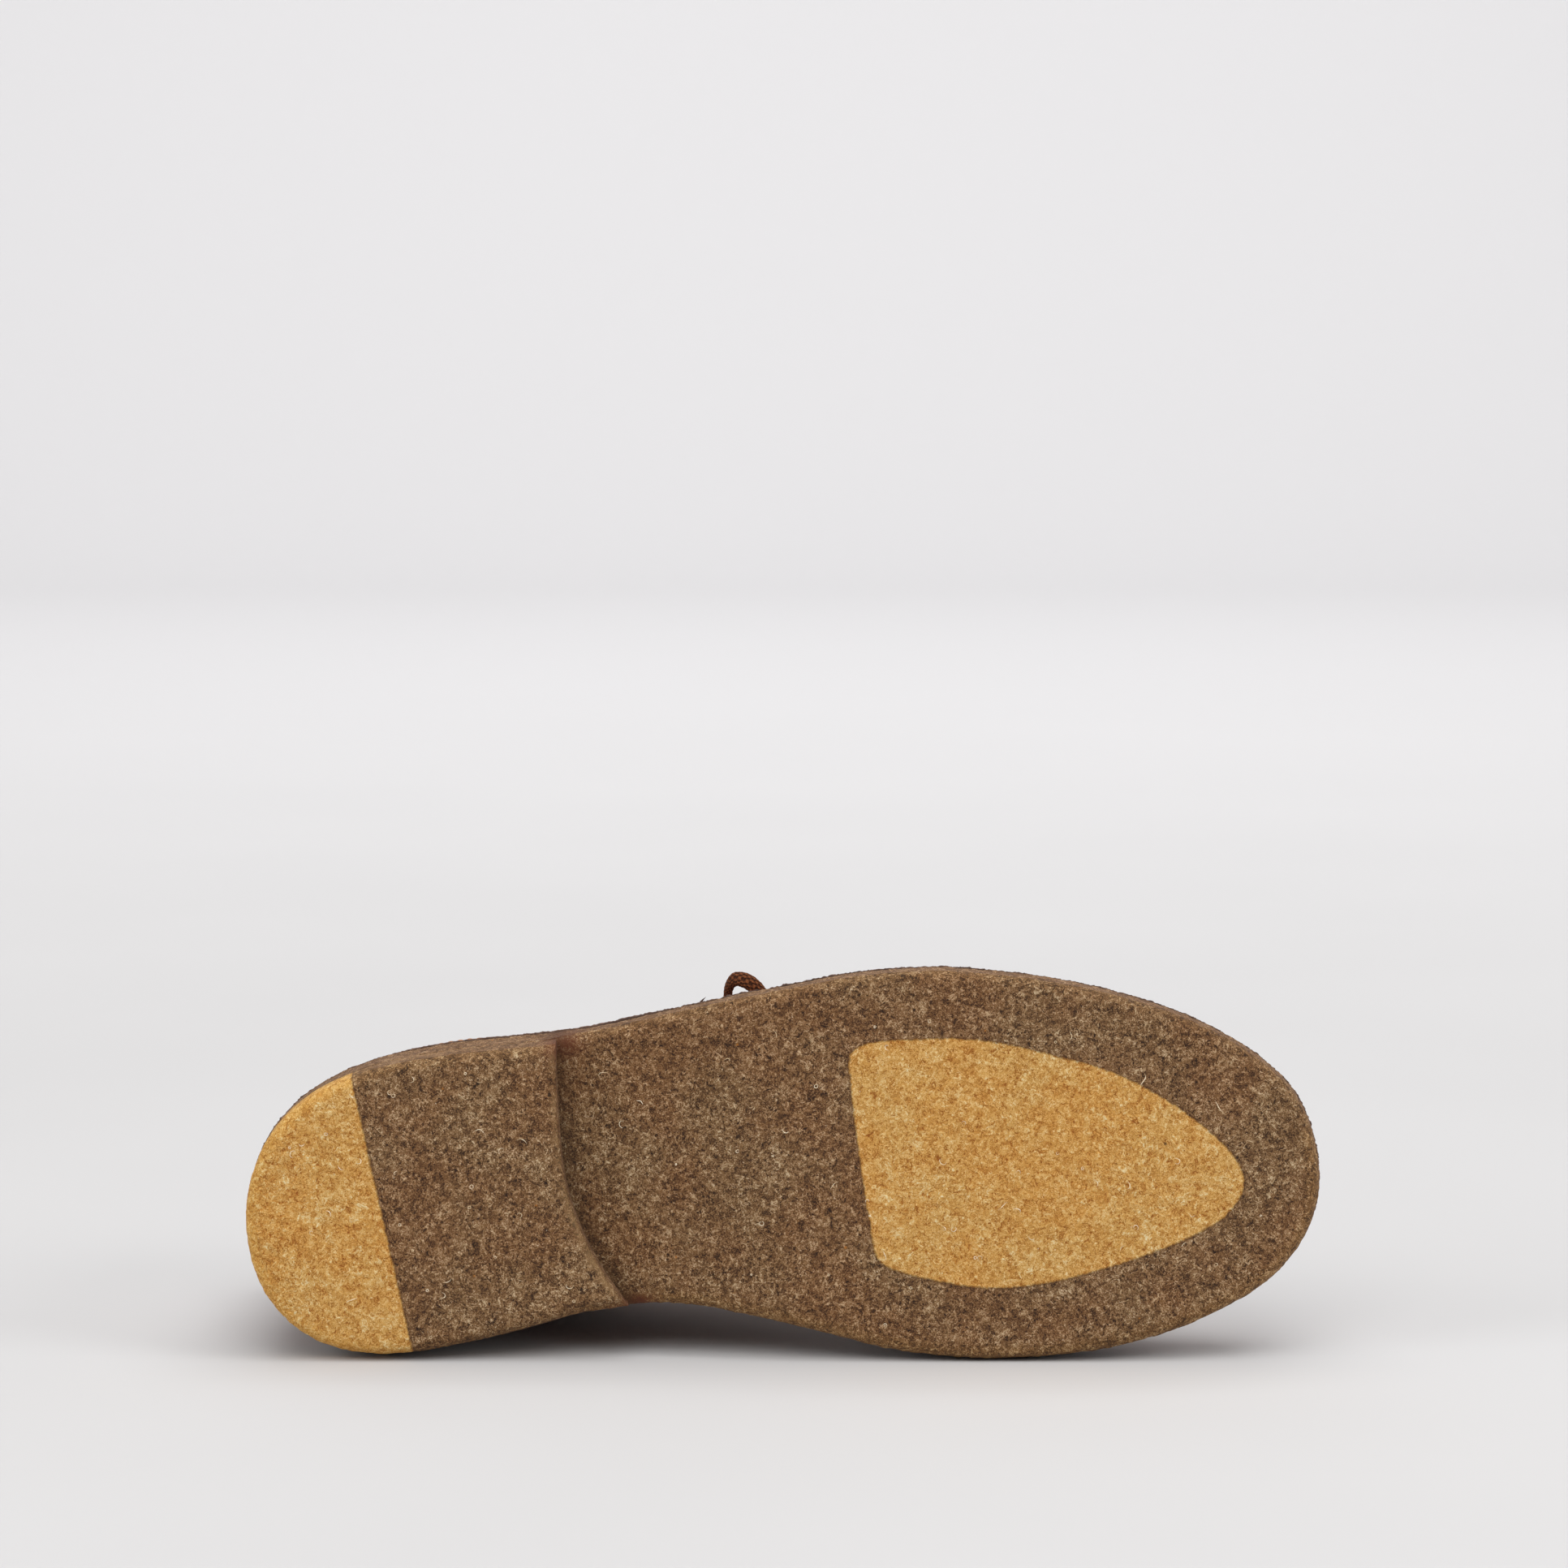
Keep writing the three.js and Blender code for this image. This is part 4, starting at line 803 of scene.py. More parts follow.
def slab(rings, stations, columns, ends_at_breast=False):
    """A closed slab between rings of the outline, from its top ring to its bottom ring. Each ring gives its
    inset and height at a place along the sole, and how far it stands back from the breast."""
    share = np.linspace(0, 1, stations + 1)[:, None]
    places = np.linspace(-1, 1, columns + 1)[None, :]

    def surface(ring, share, place, end):
        inset, height, _ = ring
        t = share * end
        x = along_at(t)
        lateral, medial = inset_edge(t, -1, inset(x)), inset_edge(t, 1, inset(x))
        flat = lateral + (medial - lateral) * ((place + 1) / 2)[..., None]
        return np.concatenate([flat, height(flat[..., :1])], axis=-1)

    def end_of(ring):
        if not ends_at_breast:
            return np.ones_like(places)
        low, high = np.full_like(places, 0.2), np.full_like(places, 0.6)
        for _ in range(40):
            middle = (low + high) / 2
            point = surface(ring, np.ones_like(places), places, middle)
            behind = point[..., 0] < breast_x(point[..., 1]) - ring[2]
            low, high = np.where(behind, middle, low), np.where(behind, high, middle)
        return low

    ends = [end_of(ring) for ring in rings]
    mesh = Mesh()
    mesh.grid(surface(rings[0], share, places, ends[0]))
    mesh.grid(surface(rings[-1], share, places, ends[-1]), flip=True)
    sides = []
    for column in (0, -1):
        place = places[:, column:][:, :1]
        walls = [surface(ring, share, place, end[:, column:][:, :1])[:, 0] for ring, end in zip(rings, ends)]
        sides.append(np.stack(walls))
    mesh.grid(sides[0])
    mesh.grid(sides[1], flip=True)
    if ends_at_breast:
        front = [surface(ring, np.ones_like(places), places, end)[0] for ring, end in zip(rings, ends)]
        mesh.grid(np.stack(front))
    return mesh.merged()


def distance_to(points, line):
    """Distance from points to a line of points, seen from above."""
    a, b = line[:-1], line[1:]
    best = np.full(len(points), 1e9)
    for start, end in zip(a, b):
        run = end - start
        share = np.clip((points - start) @ run / max(run @ run, 1e-12), 0, 1)
        gap = np.linalg.norm(points - start - share[:, None] * run, axis=1)
        best = np.minimum(best, gap)
    return best


def inside(points, loop):
    """Which points lie in a closed loop."""
    crossings = np.zeros(len(points), int)
    for (x0, y0), (x1, y1) in zip(loop, np.roll(loop, -1, axis=0)):
        spans = (points[:, 1] < y0) != (points[:, 1] < y1)
        if spans.any():
            at = x0 + (points[:, 1] - y0) * (x1 - x0) / (y1 - y0 if y1 != y0 else 1e-9)
            crossings += spans & (points[:, 0] < at)
    return crossings % 2 == 1


def outline_line(inset):
    """The sole's outline moved inward by an inset: the lateral side to the toe, then the medial side back."""
    t = np.linspace(0, 1, 161)
    lateral, medial = (inset_edge(t, side, np.full_like(t, inset)) for side in (-1, 1))
    return np.vstack([lateral, medial[::-1]])


# Where a painted highlight runs under the lateral wall's top edge, and where a painted sheen streak lies
# along the lateral wall: from none over full to none along the boot
SHEEN_LINE_STRETCH = (126, 150, 170, 186)
SHEEN_STREAK_STRETCH = (30, 44, 58, 74)
# Lumps of the crepe, cells of its meshes, and where rings stand on its rounded edges
LUMP_SIZE = 1.9
SWELL_SIZE = 14
RUNNER_STATIONS = 380
HEEL_STATIONS = 110
CREPE_COLUMNS = 84
TOP_EDGE_ANGLES = (0, 30, 60, 90)
EDGE_ANGLES = (72, 54, 36, 18, 0)
# Stains of glue on the tread: middle, then half their length and width
GLUE_SPOTS = ((93.5, -41.0, 5.0, 3.4), (108.5, 33.2, 4.6, 1.9), (104.0, 34.6, 3.6, 1.3))


def crepe_facts(points, normals, is_heel):
    """What the crepe's material needs at each point: how far the rim and the dye line are, walls, stains,
    real wear with a painted sheen, and painted shade beside the heel's breast.
    """
    x, y, z = points.T
    flat = points[:, :2]
    lateral = y < 0
    wall = smoothstep(-normals[:, 2], 0.3, 0.08)
    wall = wall * (1 - smoothstep(x, 44, 34) * smoothstep(z, 11, 7))
    # Painted highlight: a pale line just under the top edge of the lateral wall, where light catches the edge
    wear_and_sheen = 0.75 * bell(sole_top(x) - z - 0.5, 0.5) * lateral * stretch_of(x, *SHEEN_LINE_STRETCH)
    # Painted sheen: a pale streak along the lateral wall of the heel, where light glances off it
    sheen_streak = bell(z - 8.5 + 0.6 * crumble(points, 9, 2), 2.4) * lateral * stretch_of(x, *SHEEN_STREAK_STRETCH)
    wear_and_sheen = np.maximum(wear_and_sheen, 0.42 * wall * sheen_streak)
    rim = distance_to(flat, outline_line(1.0 if is_heel else FORE_FLARE))
    breast_gap = x - breast_x(y)
    if is_heel:
        rim = np.minimum(rim, np.abs(breast_gap) + 2.6)
        (x0, y0), (x1, y1) = HEEL_LINE
        ahead = (x - x0) * (y1 - y0) - (y - y0) * (x1 - x0)
        honey = -ahead / math.hypot(x1 - x0, y1 - y0)
        shade = smoothstep(z, 3, 9) * smoothstep(breast_gap, -1.5, -0.2)
        ridge = bell(breast_gap + 0.9 + 0.6 * crumble(points, 5, 3), 0.6)
        patchy = np.clip(0.55 + 0.8 * crumble(points + 40, 7, 3), 0, 1)
        wear_and_sheen = np.maximum(wear_and_sheen, ridge * patchy * smoothstep(z, 2.5, 1.0))
    else:
        loop = route([(*place, 0) for place in PATCH], 1.6, closed=True)[:, :2]
        honey = distance_to(flat, np.vstack([loop, loop[:1]])) * np.where(inside(flat, loop), 1, -1)
        shade = smoothstep(breast_gap, 7.0, 0.5) * smoothstep(breast_gap, -8, -1)
        rim = rim + np.where(lateral, 1.8, -0.5)
    glue = np.zeros(len(points))
    for middle_x, middle_y, long, wide in GLUE_SPOTS:
        glue = np.maximum(glue, np.exp(-(((x - middle_x) / long) ** 2 + ((y - middle_y) / wide) ** 2)))
    return {"rim": rim, "honey": honey, "wall": wall, "glue": glue, "shade": shade, "wear_and_sheen": wear_and_sheen}


def make_crepe(name, rings, stations, is_heel):
    """A slab of crepe, with the small lumps of the rubber on its sides and tread."""
    points, faces, _ = slab(rings, stations, CREPE_COLUMNS, is_heel)
    normals = normals_of(points, faces)
    tread = np.clip(-normals[:, 2], 0, 1)
    fine, broad = crumble(points, LUMP_SIZE), crumble(points, SWELL_SIZE, 2)
    lumps = fine * (0.24 + 0.04 * tread) + broad * 0.12
    lumps = np.minimum(lumps * smoothstep(normals[:, 2], 0.8, 0.3), 0.26)
    facts = crepe_facts(points, normals, is_heel)
    return make_object(name, points + normals * lumps[:, None], faces, [CREPE], sharp=70, **facts)


def quarter_round(*angles):
    """How far a quarter round has come in and up at each angle, as shares of its radius."""
    return [(1 - math.sin(math.radians(angle)), 1 - math.cos(math.radians(angle))) for angle in angles]


def make_outsole():
    def rounding(x):
        breast = BREAST_AT * SOLE_LENGTH
        return 0.3 + (EDGE_ROUND - 0.3) * smoothstep(x, breast - 4, breast + 8)

    rings = []
    for inward, down in quarter_round(*TOP_EDGE_ANGLES):
        rings.append((
            lambda x, inward=inward: np.full_like(x, TOP_EDGE_ROUND * inward),
            lambda x, down=down: sole_top(x) - TOP_EDGE_ROUND * down, 0,
        ))
    for share in np.linspace(0.12, 1, 8):
        def height(x, share=share):
            top, low = sole_top(x) - TOP_EDGE_ROUND, underside(x) + rounding(x)
            return top + (low - top) * share

        rings.append((lambda x, height=height: flare_at(x, height(x)), height, 0))
    for inward, upward in quarter_round(*EDGE_ANGLES):
        rings.append((
            lambda x, inward=inward: flare_at(x, underside(x)) + rounding(x) * inward,
            lambda x, upward=upward: underside(x) + rounding(x) * upward, 0,
        ))
    made = make_crepe("crepe_runner", rings, RUNNER_STATIONS, False)
    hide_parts("outsole")


def make_heel():
    def top(x):
        return underside(x) - GAP

    rings = []
    for share in np.linspace(0, 1, 8):
        def height(x, share=share):
            return top(x) + (EDGE_ROUND - top(x)) * share

        rings.append((lambda x, height=height: np.minimum(flare_at(x, height(x)), heel_flare(x)), height, 0))
    for inward, upward in quarter_round(*EDGE_ANGLES):
        rings.append((
            lambda x, inward=inward: heel_flare(x) + EDGE_ROUND * inward,
            lambda x, upward=upward: np.full_like(x, EDGE_ROUND * upward), BREAST_EDGE * inward,
        ))
    made = make_crepe("crepe_heel_lift", rings, HEEL_STATIONS, True)
    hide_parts("heel")


make_outsole()
make_heel()


# The upper's surface, as in the source
SLICE_PLACES = np.arange(len(SLICES))
TABLE = {key: np.array([row[k] for row in SLICES], float) for k, key in enumerate(SLICE_COLUMNS)}
FEATHER = {side: inset_edge(np.linspace(0, 1, 241), side, np.full(241, FLANGE_WIDTH)) for side in (-1, 1)}
FEATHER_TOE = FEATHER[-1][-1, 0]
FEATHER_HEEL = FEATHER[-1][0, 0]


def feather_at(side, x):
    return np.interp(x, FEATHER[side][:, 0], FEATHER[side][:, 1])


def column(key, v):
    return through(SLICE_PLACES, TABLE[key], v)


def slice_at(v):
    """The upper's slice at any places between the rows of the table."""
    v = np.asarray(v, float)
    on_seam = v >= HEEL_SEAM_FROM
    seam = slice(HEEL_SEAM_FROM, None)
    body = slice(0, HEEL_SEAM_FROM + 1)

    def base_column(key):
        above = through(SLICE_PLACES[seam], TABLE[key][seam], v)
        below = through(SLICE_PLACES[body], TABLE[key][body], v)
        return np.where(on_seam, above, below)

    rise = base_column("up") * COLLAR_HEIGHT
    base_x = FEATHER_HEEL + (FEATHER_TOE - FEATHER_HEEL) * np.clip(base_column("base"), 0, 1)
    base_x = base_x + base_column("bulge") * SOLE_LENGTH
    ridge_x = np.where(v <= 0, base_x, np.minimum(column("ridge", v) * SOLE_LENGTH, FEATHER_TOE))
    ridge_z = sole_top(ridge_x) - BASE_TRIM + column("toe", v) * TOE_HEIGHT + column("leg", v) * COLLAR_HEIGHT
    lateral, medial = feather_at(-1, base_x), feather_at(1, base_x)
    start = FEATHER[-1][0, 1]
    seam_y = start + (HEEL_CENTRE * HEEL_WIDTH - start) * np.clip(rise / COLLAR_HEIGHT, 0, 1)
    foot_half = np.where(on_seam, 0, (medial - lateral) / 2)
    follow = column("follow", v)
    wide = follow * FEATHER_FULLNESS * foot_half + (1 - follow) * column("wide", v) * ANKLE_WIDTH / 2
    base_y = np.where(on_seam, seam_y, (medial + lateral) / 2)
    ridge = np.stack([ridge_x, column("lean", v) * BALL_WIDTH, ridge_z], axis=-1)
    base = np.stack([base_x, base_y, sole_top(base_x) - BASE_TRIM + rise], axis=-1)
    return {
        "ridge": ridge, "base": base, "wide": wide, "foot_half": foot_half,
        "low": column("low", v), "crown": column("crown", v), "foot": column("foot", v),
    }


def surface(v, u):
    """Points of the upper: u runs from -1 at the lateral base over 0 at the ridge to 1 at the medial base."""
    v, u = np.broadcast_arrays(np.clip(v, 0, len(SLICES) - 1), np.clip(u, -1, 1))
    cut = slice_at(v)
    part = np.abs(u)
    high = np.clip(part, 0, 0.5) * np.pi
    down_high = cut["low"] * (1 - np.clip(np.cos(high), 0, 1) ** (2 / cut["crown"]))
    half_high = cut["wide"] * np.sin(high) ** (2 / cut["crown"])
    fall = np.clip(np.sin(np.clip(part - 0.5, 0, 0.5) * np.pi), 0, 1) ** 2
    kept = np.where(cut["wide"] > 0, (cut["foot_half"] / np.maximum(cut["wide"], 1e-9)) ** cut["foot"], 1)
    down_low = cut["low"] + (1 - cut["low"]) * fall ** (1 / cut["foot"])
    half_low = cut["wide"] * np.clip(1 - (1 - kept) * fall, 0, None) ** (1 / cut["foot"])
    down = np.where(part < 0.5, down_high, down_low)
    half = np.where(part < 0.5, half_high, half_low)
    points = cut["ridge"] + (cut["base"] - cut["ridge"]) * down[..., None]
    points[..., 1] += np.sign(u) * half
    return points


def surface_normals(v, u):
    v = np.clip(v, 0.15, len(SLICES) - 1)
    across = surface(v, u + 0.012) - surface(v, u - 0.012)
    along = surface(v + 0.06, u) - surface(v - 0.06, u)
    normals = np.cross(across, along)
    on_seam = (np.abs(u) > 1 - 1e-9) & (v >= HEEL_SEAM_FROM)
    if np.any(on_seam):
        other_across = surface(v, -u + 0.012) - surface(v, -u - 0.012)
        other = np.cross(other_across, surface(v + 0.06, -u) - surface(v - 0.06, -u))
        normals = np.where(on_seam[..., None], unit(normals) + unit(other), normals)
    return unit(normals)


SEAT_HEIGHT = HEEL_LIFT + RUNNER_THICKNESS
# Between which slices the collar line and the quarters' front edge run
COLLAR_BETWEEN = (13.0, 18.95)
FRONT_BETWEEN = (2.0, 14.9)
# How wide the rounding of the leather's cut edges is
UPPER_EDGE = 0.9
OVERLAY_EDGE = 0.8


def collar_height(x):
    along = [place * SOLE_LENGTH for place, _ in COLLAR_LINE]
    return through(along, [SEAT_HEIGHT + up * COLLAR_HEIGHT for _, up in COLLAR_LINE], x)


def quarter_front(z):
    heights = [SEAT_HEIGHT + up * COLLAR_HEIGHT for _, up in QUARTER_EDGE]
    return through(heights, [place * SOLE_LENGTH for place, _ in QUARTER_EDGE], z)


def throat_half(v):
    """Half the width of the throat's slit on a slice: round at its end, wider at the top."""
    ridge = slice_at(v)["ridge"]
    end = slice_at(THROAT_END)["ridge"]
    top = slice_at(HEEL_SEAM_FROM + 3)["ridge"]
    run = top - end
    whole = np.linalg.norm(run)
    gone = ((ridge - end) @ run) / whole
    radius = THROAT_WIDTH_LOW / 2
    rounded = np.sqrt(np.clip(radius**2 - (radius - np.clip(gone, 0, radius)) ** 2, 0, None))
    wider = (THROAT_WIDTH_TOP - THROAT_WIDTH_LOW) / 2 * np.clip((gone - radius) / whole, 0, 2)
    return np.where(gone <= 0, 0, rounded + wider)


def throat_place(v):
    cut = slice_at(v)
    share = np.clip(throat_half(v) / cut["wide"], 0, 1) ** (cut["crown"] / 2)
    return np.arcsin(share) / np.pi


def place_on(v, s, side):
    """The surface's own places for a column s, from 0 at the throat or ridge to 1 at the base."""
    slit = throat_place(v)
    return side * (slit + s * (1 - slit))


def solve_rows(s, side, low, high, beyond):
    """For each column, the slice where it passes a line on the boot."""
    low, high = np.full_like(s, low), np.full_like(s, high)
    for _ in range(36):
        middle = (low + high) / 2
        passed = beyond(surface(middle, place_on(middle, s, side)))
        low, high = np.where(passed, low, middle), np.where(passed, middle, high)
    return low


def above_collar(points):
    return points[..., 2] > collar_height(points[..., 0])


def behind_quarter_edge(points):
    return points[..., 0] < quarter_front(points[..., 2])


def collar_slices(s, side):
    return solve_rows(s, side, *COLLAR_BETWEEN, above_collar)


def front_edge_slices(s, side):
    return solve_rows(s, side, *FRONT_BETWEEN, behind_quarter_edge)


# Soft troughs and ridges where the boot is creased with wear: where each crease crosses the ridge line, how
# far it sweeps back at the sides, how deep and wide it is and how far down it fades
VAMP_CREASES = (
    {"x": 203, "sweep": -9, "deep": 1.0, "wide": 3.6, "fade": 40},
    {"x": 213, "sweep": -5, "deep": 0.8, "wide": 3.2, "fade": 36},
    {"x": 224, "sweep": 1, "deep": 0.6, "wide": 3.4, "fade": 30},
    {"x": 192, "sweep": -14, "deep": 0.7, "wide": 3.8, "fade": 42},
)
# Wrinkles behind the ankle: height at the back, rise towards the front, depth, width and where they end
HEEL_CREASES = (
    {"z": 74, "rise": -0.16, "deep": 0.8, "wide": 3.4, "reach": 62},
    {"z": 63, "rise": -0.1, "deep": 0.6, "wide": 3.0, "reach": 50},
    {"z": 85, "rise": -0.2, "deep": 0.6, "wide": 3.8, "reach": 70},
)
# Folds where the shaft meets the instep
INSTEP_CREASES = (
    {"x": 118, "z": 62, "slope": 0.55, "deep": 0.9, "wide": 4.2, "reach": 24},
    {"x": 104, "z": 76, "slope": 0.4, "deep": 0.7, "wide": 4.0, "reach": 22},
)


def furrow(away, wide):
    """A trough with a low ridge on each side."""
    share = (away / wide) ** 2
    return -np.exp(-share) * (1 - 0.9 * share)


def creases(points):
    x, y, z = points[..., 0], points[..., 1], points[..., 2]
    out = np.zeros_like(x)
    middle = BALL_WIDTH * 0.04
    for crease in VAMP_CREASES:
        away = x - crease["x"] - crease["sweep"] * ((y - middle) / 40) ** 2
        fade = np.exp(-(np.abs(y - middle) / crease["fade"]) ** 4)
        out += crease["deep"] * furrow(away, crease["wide"]) * fade * smoothstep(z, 24, 36)
    for crease in HEEL_CREASES:
        away = z - crease["z"] - crease["rise"] * x
        fade = smoothstep(x, crease["reach"], crease["reach"] * 0.4)
        out += crease["deep"] * furrow(away, crease["wide"]) * fade
    for crease in INSTEP_CREASES:
        away = (z - crease["z"]) - crease["slope"] * (x - crease["x"])
        fade = bell(x - crease["x"], crease["reach"])
        out += crease["deep"] * furrow(away, crease["wide"]) * fade
    return out


def suede_waves(points):
    flat = points.reshape(-1, 3)
    return (crumble(flat, 26, 2) * 0.35 + crumble(flat, 5, 2) * 0.06).reshape(points.shape[:-1])


def skin(v, u, over_sole=False):
    """Points of the upper, their normals, and how far the leather, creased with wear, stands out or lies in
    there.
    """
    points, normals = surface(v, u), surface_normals(v, u)
    if over_sole:
        points[..., 2] = np.maximum(points[..., 2], sole_top(points[..., 0]) + GAP)
    swell = creases(points) + suede_waves(points)
    return points, normals, swell * smoothstep(points[..., 2] - sole_top(points[..., 0]), 3, 9)


def rounded(share, edge):
    """A shell's thickness towards an edge: full inside, falling in a quarter round at the edge itself."""
    return np.sqrt(np.clip(1 - (1 - np.clip(share / edge, 0, 1)) ** 2, 0, 1))


def rounded_at(points, rims, radius):
    """The same for points of a shell, with its rims given as rows or columns of them."""
    return np.min([rounded(np.linalg.norm(points - rim, axis=-1), radius) for rim in rims], axis=0)


def rounded_with_slit(points, v, rims, radius):
    """The same where the throat's slit is a rim too, on the slices that have one."""
    whole = rounded_at(points, rims, radius)
    return np.where(v >= THROAT_END, np.minimum(whole, rounded_at(points, [points[:, :1]], radius)), whole)


def has_slit(v):
    """Which cells of a shell's first column lie beside the throat's slit."""
    return v[:-1, :1] >= THROAT_END - 1e-9


def column_shares(count):
    """Columns from throat to base, closer at both ends."""
    s = np.linspace(0, 1, count)
    return s - 0.35 * np.sin(2 * np.pi * s) / (2 * np.pi)


def rows_to_collar(side, s, low_rows, high_rows):
    """Slices for each column: the same up to the throat's end, then in even steps to the collar line."""
    lower = np.broadcast_to(low_rows[:, None], (len(low_rows), len(s)))
    share = np.linspace(0, 1, high_rows + 1)[1:, None]
    start = low_rows[-1]
    return np.vstack([lower, start + (collar_slices(s, side)[None, :] - start) * share])


def make_upper():
    """The shell over the last, lined inside, with rounded edges at the throat and the collar."""
    throat_rows = THROAT_END + np.array([0, 0.02, 0.05, 0.09, 0.14, 0.2, 0.27, 0.35])
    low_rows = np.concatenate([np.linspace(0, THROAT_END, 141)[:-1], throat_rows])
    s = column_shares(74)
    mesh = Mesh()
    for side in (-1, 1):
        v = rows_to_collar(side, s, low_rows, 92)
        points, normals, swell = skin(v, place_on(v, s, side), over_sole=True)
        edge = rounded_with_slit(points, v, [points[-1:]], UPPER_EDGE)
        outer = points + normals * (-UPPER_WALL + UPPER_WALL * (0.35 + 0.65 * edge) + swell)[..., None]
        inner = points + normals * (-UPPER_WALL + swell)[..., None]
        flip = side > 0
        mesh.grid(outer, flip=flip)
        mesh.grid(inner, flip=not flip, kind=1)
        on_base = v[:-1, -1:] <= HEEL_SEAM_FROM
        wanted = {"last_row": None, "last_column": on_base, "first_column": has_slit(v)}
        mesh.rims(outer, inner, wanted, flip, 2)
    made = build(mesh, "suede_upper", [SUEDE, LINING, SUEDE_EDGE], sharp=55)
    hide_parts("upper")


def make_quarters():
    """The quarters lie over the vamp, with a cut front edge."""
    s = column_shares(66)
    share = np.linspace(0, 1, 150)[:, None]
    mesh = Mesh()
    for side in (-1, 1):
        front, top = front_edge_slices(s, side), collar_slices(s, side)
        v = front[None, :] + (top - front)[None, :] * share
        points, normals, swell = skin(v, place_on(v, s, side), over_sole=True)
        edge = rounded_with_slit(points, v, [points[:1], points[-1:]], OVERLAY_EDGE)
        outer = points + normals * (0.1 + (QUARTER_STEP - 0.1) * (0.3 + 0.7 * edge) + swell)[..., None]
        inner = points + normals * (0.02 + swell)[..., None]
        flip = side > 0
        mesh.grid(outer, flip=flip)
        mesh.rims(outer, inner, {"last_row": None, "first_row": None, "first_column": has_slit(v)}, flip, 1)
    build(mesh, "suede_quarters", [SUEDE, SUEDE_EDGE], sharp=55)


make_upper()
make_quarters()


def backstay_place(cut, half, side):
    """Where a line at half a width from the heel seam lies on the slices."""
    reach = np.clip(half / cut["wide"], 0, 1) ** (cut["foot"] / 2)
    return side * (0.5 + np.arccos(reach) / np.pi)


def make_backstay():
    """A strip over the heel seam."""
    top = float(np.mean([collar_slices(np.array([1.0]), side)[0] for side in (-1, 1)]))
    v = np.linspace(HEEL_SEAM_FROM, top, 110)[:, None]
    cut = slice_at(v)
    across = np.linspace(0, 1, 25)[None, :]
    mesh = Mesh()
    for side in (-1, 1):
        u = backstay_place(cut, BACKSTAY_WIDTH / 2 * across, side)
        points, normals, swell = skin(np.broadcast_to(v, u.shape), u)
        edge = rounded_at(points, [points[:, -1:], points[-1:]], OVERLAY_EDGE)
        over = QUARTER_STEP + BACKSTAY_STEP * (0.25 + 0.75 * edge)
        outer = points + normals * (over + swell)[..., None]
        inner = points + normals * (QUARTER_STEP - 0.15 + swell)[..., None]
        mesh.grid(outer, flip=side < 0)
        mesh.rims(outer, inner, {"last_row": None}, side < 0, 1)
        mesh.grid(np.stack([inner[:, -1], outer[:, -1]], 1), flip=side > 0, kind=1)
    build(mesh, "suede_backstay", [SUEDE, SUEDE_EDGE], sharp=55)


# The flange's section: how far in from the sole's edge, how high over the sole, how ragged
FLANGE_SECTION = (
    (FLANGE_WIDTH + 0.8, 0, 0), (FLANGE_SETBACK, 0, 0.2), (FLANGE_SETBACK - 0.1, 0.6, 0.4),
    (FLANGE_SETBACK, 1.3, 0.4), (FLANGE_SETBACK + 0.3, 1.85, 0.3), (FLANGE_SETBACK + 0.9, 2.0, 0.1),
    (1.7, 1.96, 0.05), (2.3, 1.86, 0.05), (2.9, 1.96, 0.05), (FLANGE_WIDTH - 1.2, 2.05, 0),
    (FLANGE_WIDTH - 0.4, 2.5, 0), (FLANGE_WIDTH - 0.05, 3.2, 0), (FLANGE_WIDTH + 0.8, 3.6, 0),
)
# Where its lateral rim is roughest: from none over full to none along the boot
ROUGH_RIM_STRETCH = (40, 60, 115, 135)


def flange_line(inset, up, ragged=0.0):
    """A line round the flange, at an inset from the sole's edge and a height over the sole's top."""
    t = np.linspace(0, 1, 1100)
    lateral = inset_edge(t, -1, np.full_like(t, inset))
    medial = inset_edge(t, 1, np.full_like(t, inset))[::-1][1:]
    flat = np.vstack([lateral, medial])
    line = np.column_stack([flat, sole_top(flat[:, 0]) + GAP + up])
    if ragged:
        rough = (crumble(line, 0.9, 4) + 0.7 * crumble(line, 5, 2)) * ragged + ragged * 0.7
        rough = rough + ragged * (stretch_of(line[:, 0], *ROUGH_RIM_STRETCH) * (line[:, 1] < 0))
        middle = np.array([SOLE_LENGTH / 2, 0, 0])
        line = line + unit(line - middle) * np.array([1, 1, 0.4]) * rough[:, None]
    return line


def make_flange():
    """The upper's edge, turned out, glued and stitched down on the sole, with a rough cut rim."""
    lines = np.stack([flange_line(inset, up, ragged) for inset, up, ragged in FLANGE_SECTION])
    mesh = Mesh()
    mesh.grid(lines[:5], kind=1)
    mesh.grid(lines[4:])
    mesh.grid(np.stack([lines[-1], lines[0]]))
    build(mesh, "suede_flange", [SUEDE, SUEDE_EDGE], sharp=60)


# One stitch: rings at shares of its length, with their size
STITCH_RINGS = ((-0.5, 0.05), (-0.46, 0.62), (-0.3, 0.96), (0, 1.0), (0.3, 0.96), (0.46, 0.62), (0.5, 0.05))
STITCH_SIDES = 8
FLANGE_STITCH = {"pitch": 4.1, "length": 3.3, "radius": 0.46}
SEAM_STITCH = {"pitch": 2.9, "length": 2.2, "radius": 0.34}
# How far the rows of stitches lie from the edges that they hold
FLANGE_SEAM = 2.3
FRONT_SEAMS = (2.0, 4.4)
THROAT_SEAMS = (2.0, 4.2)
COLLAR_SEAM = 2.2
BACKSTAY_SEAM = 2


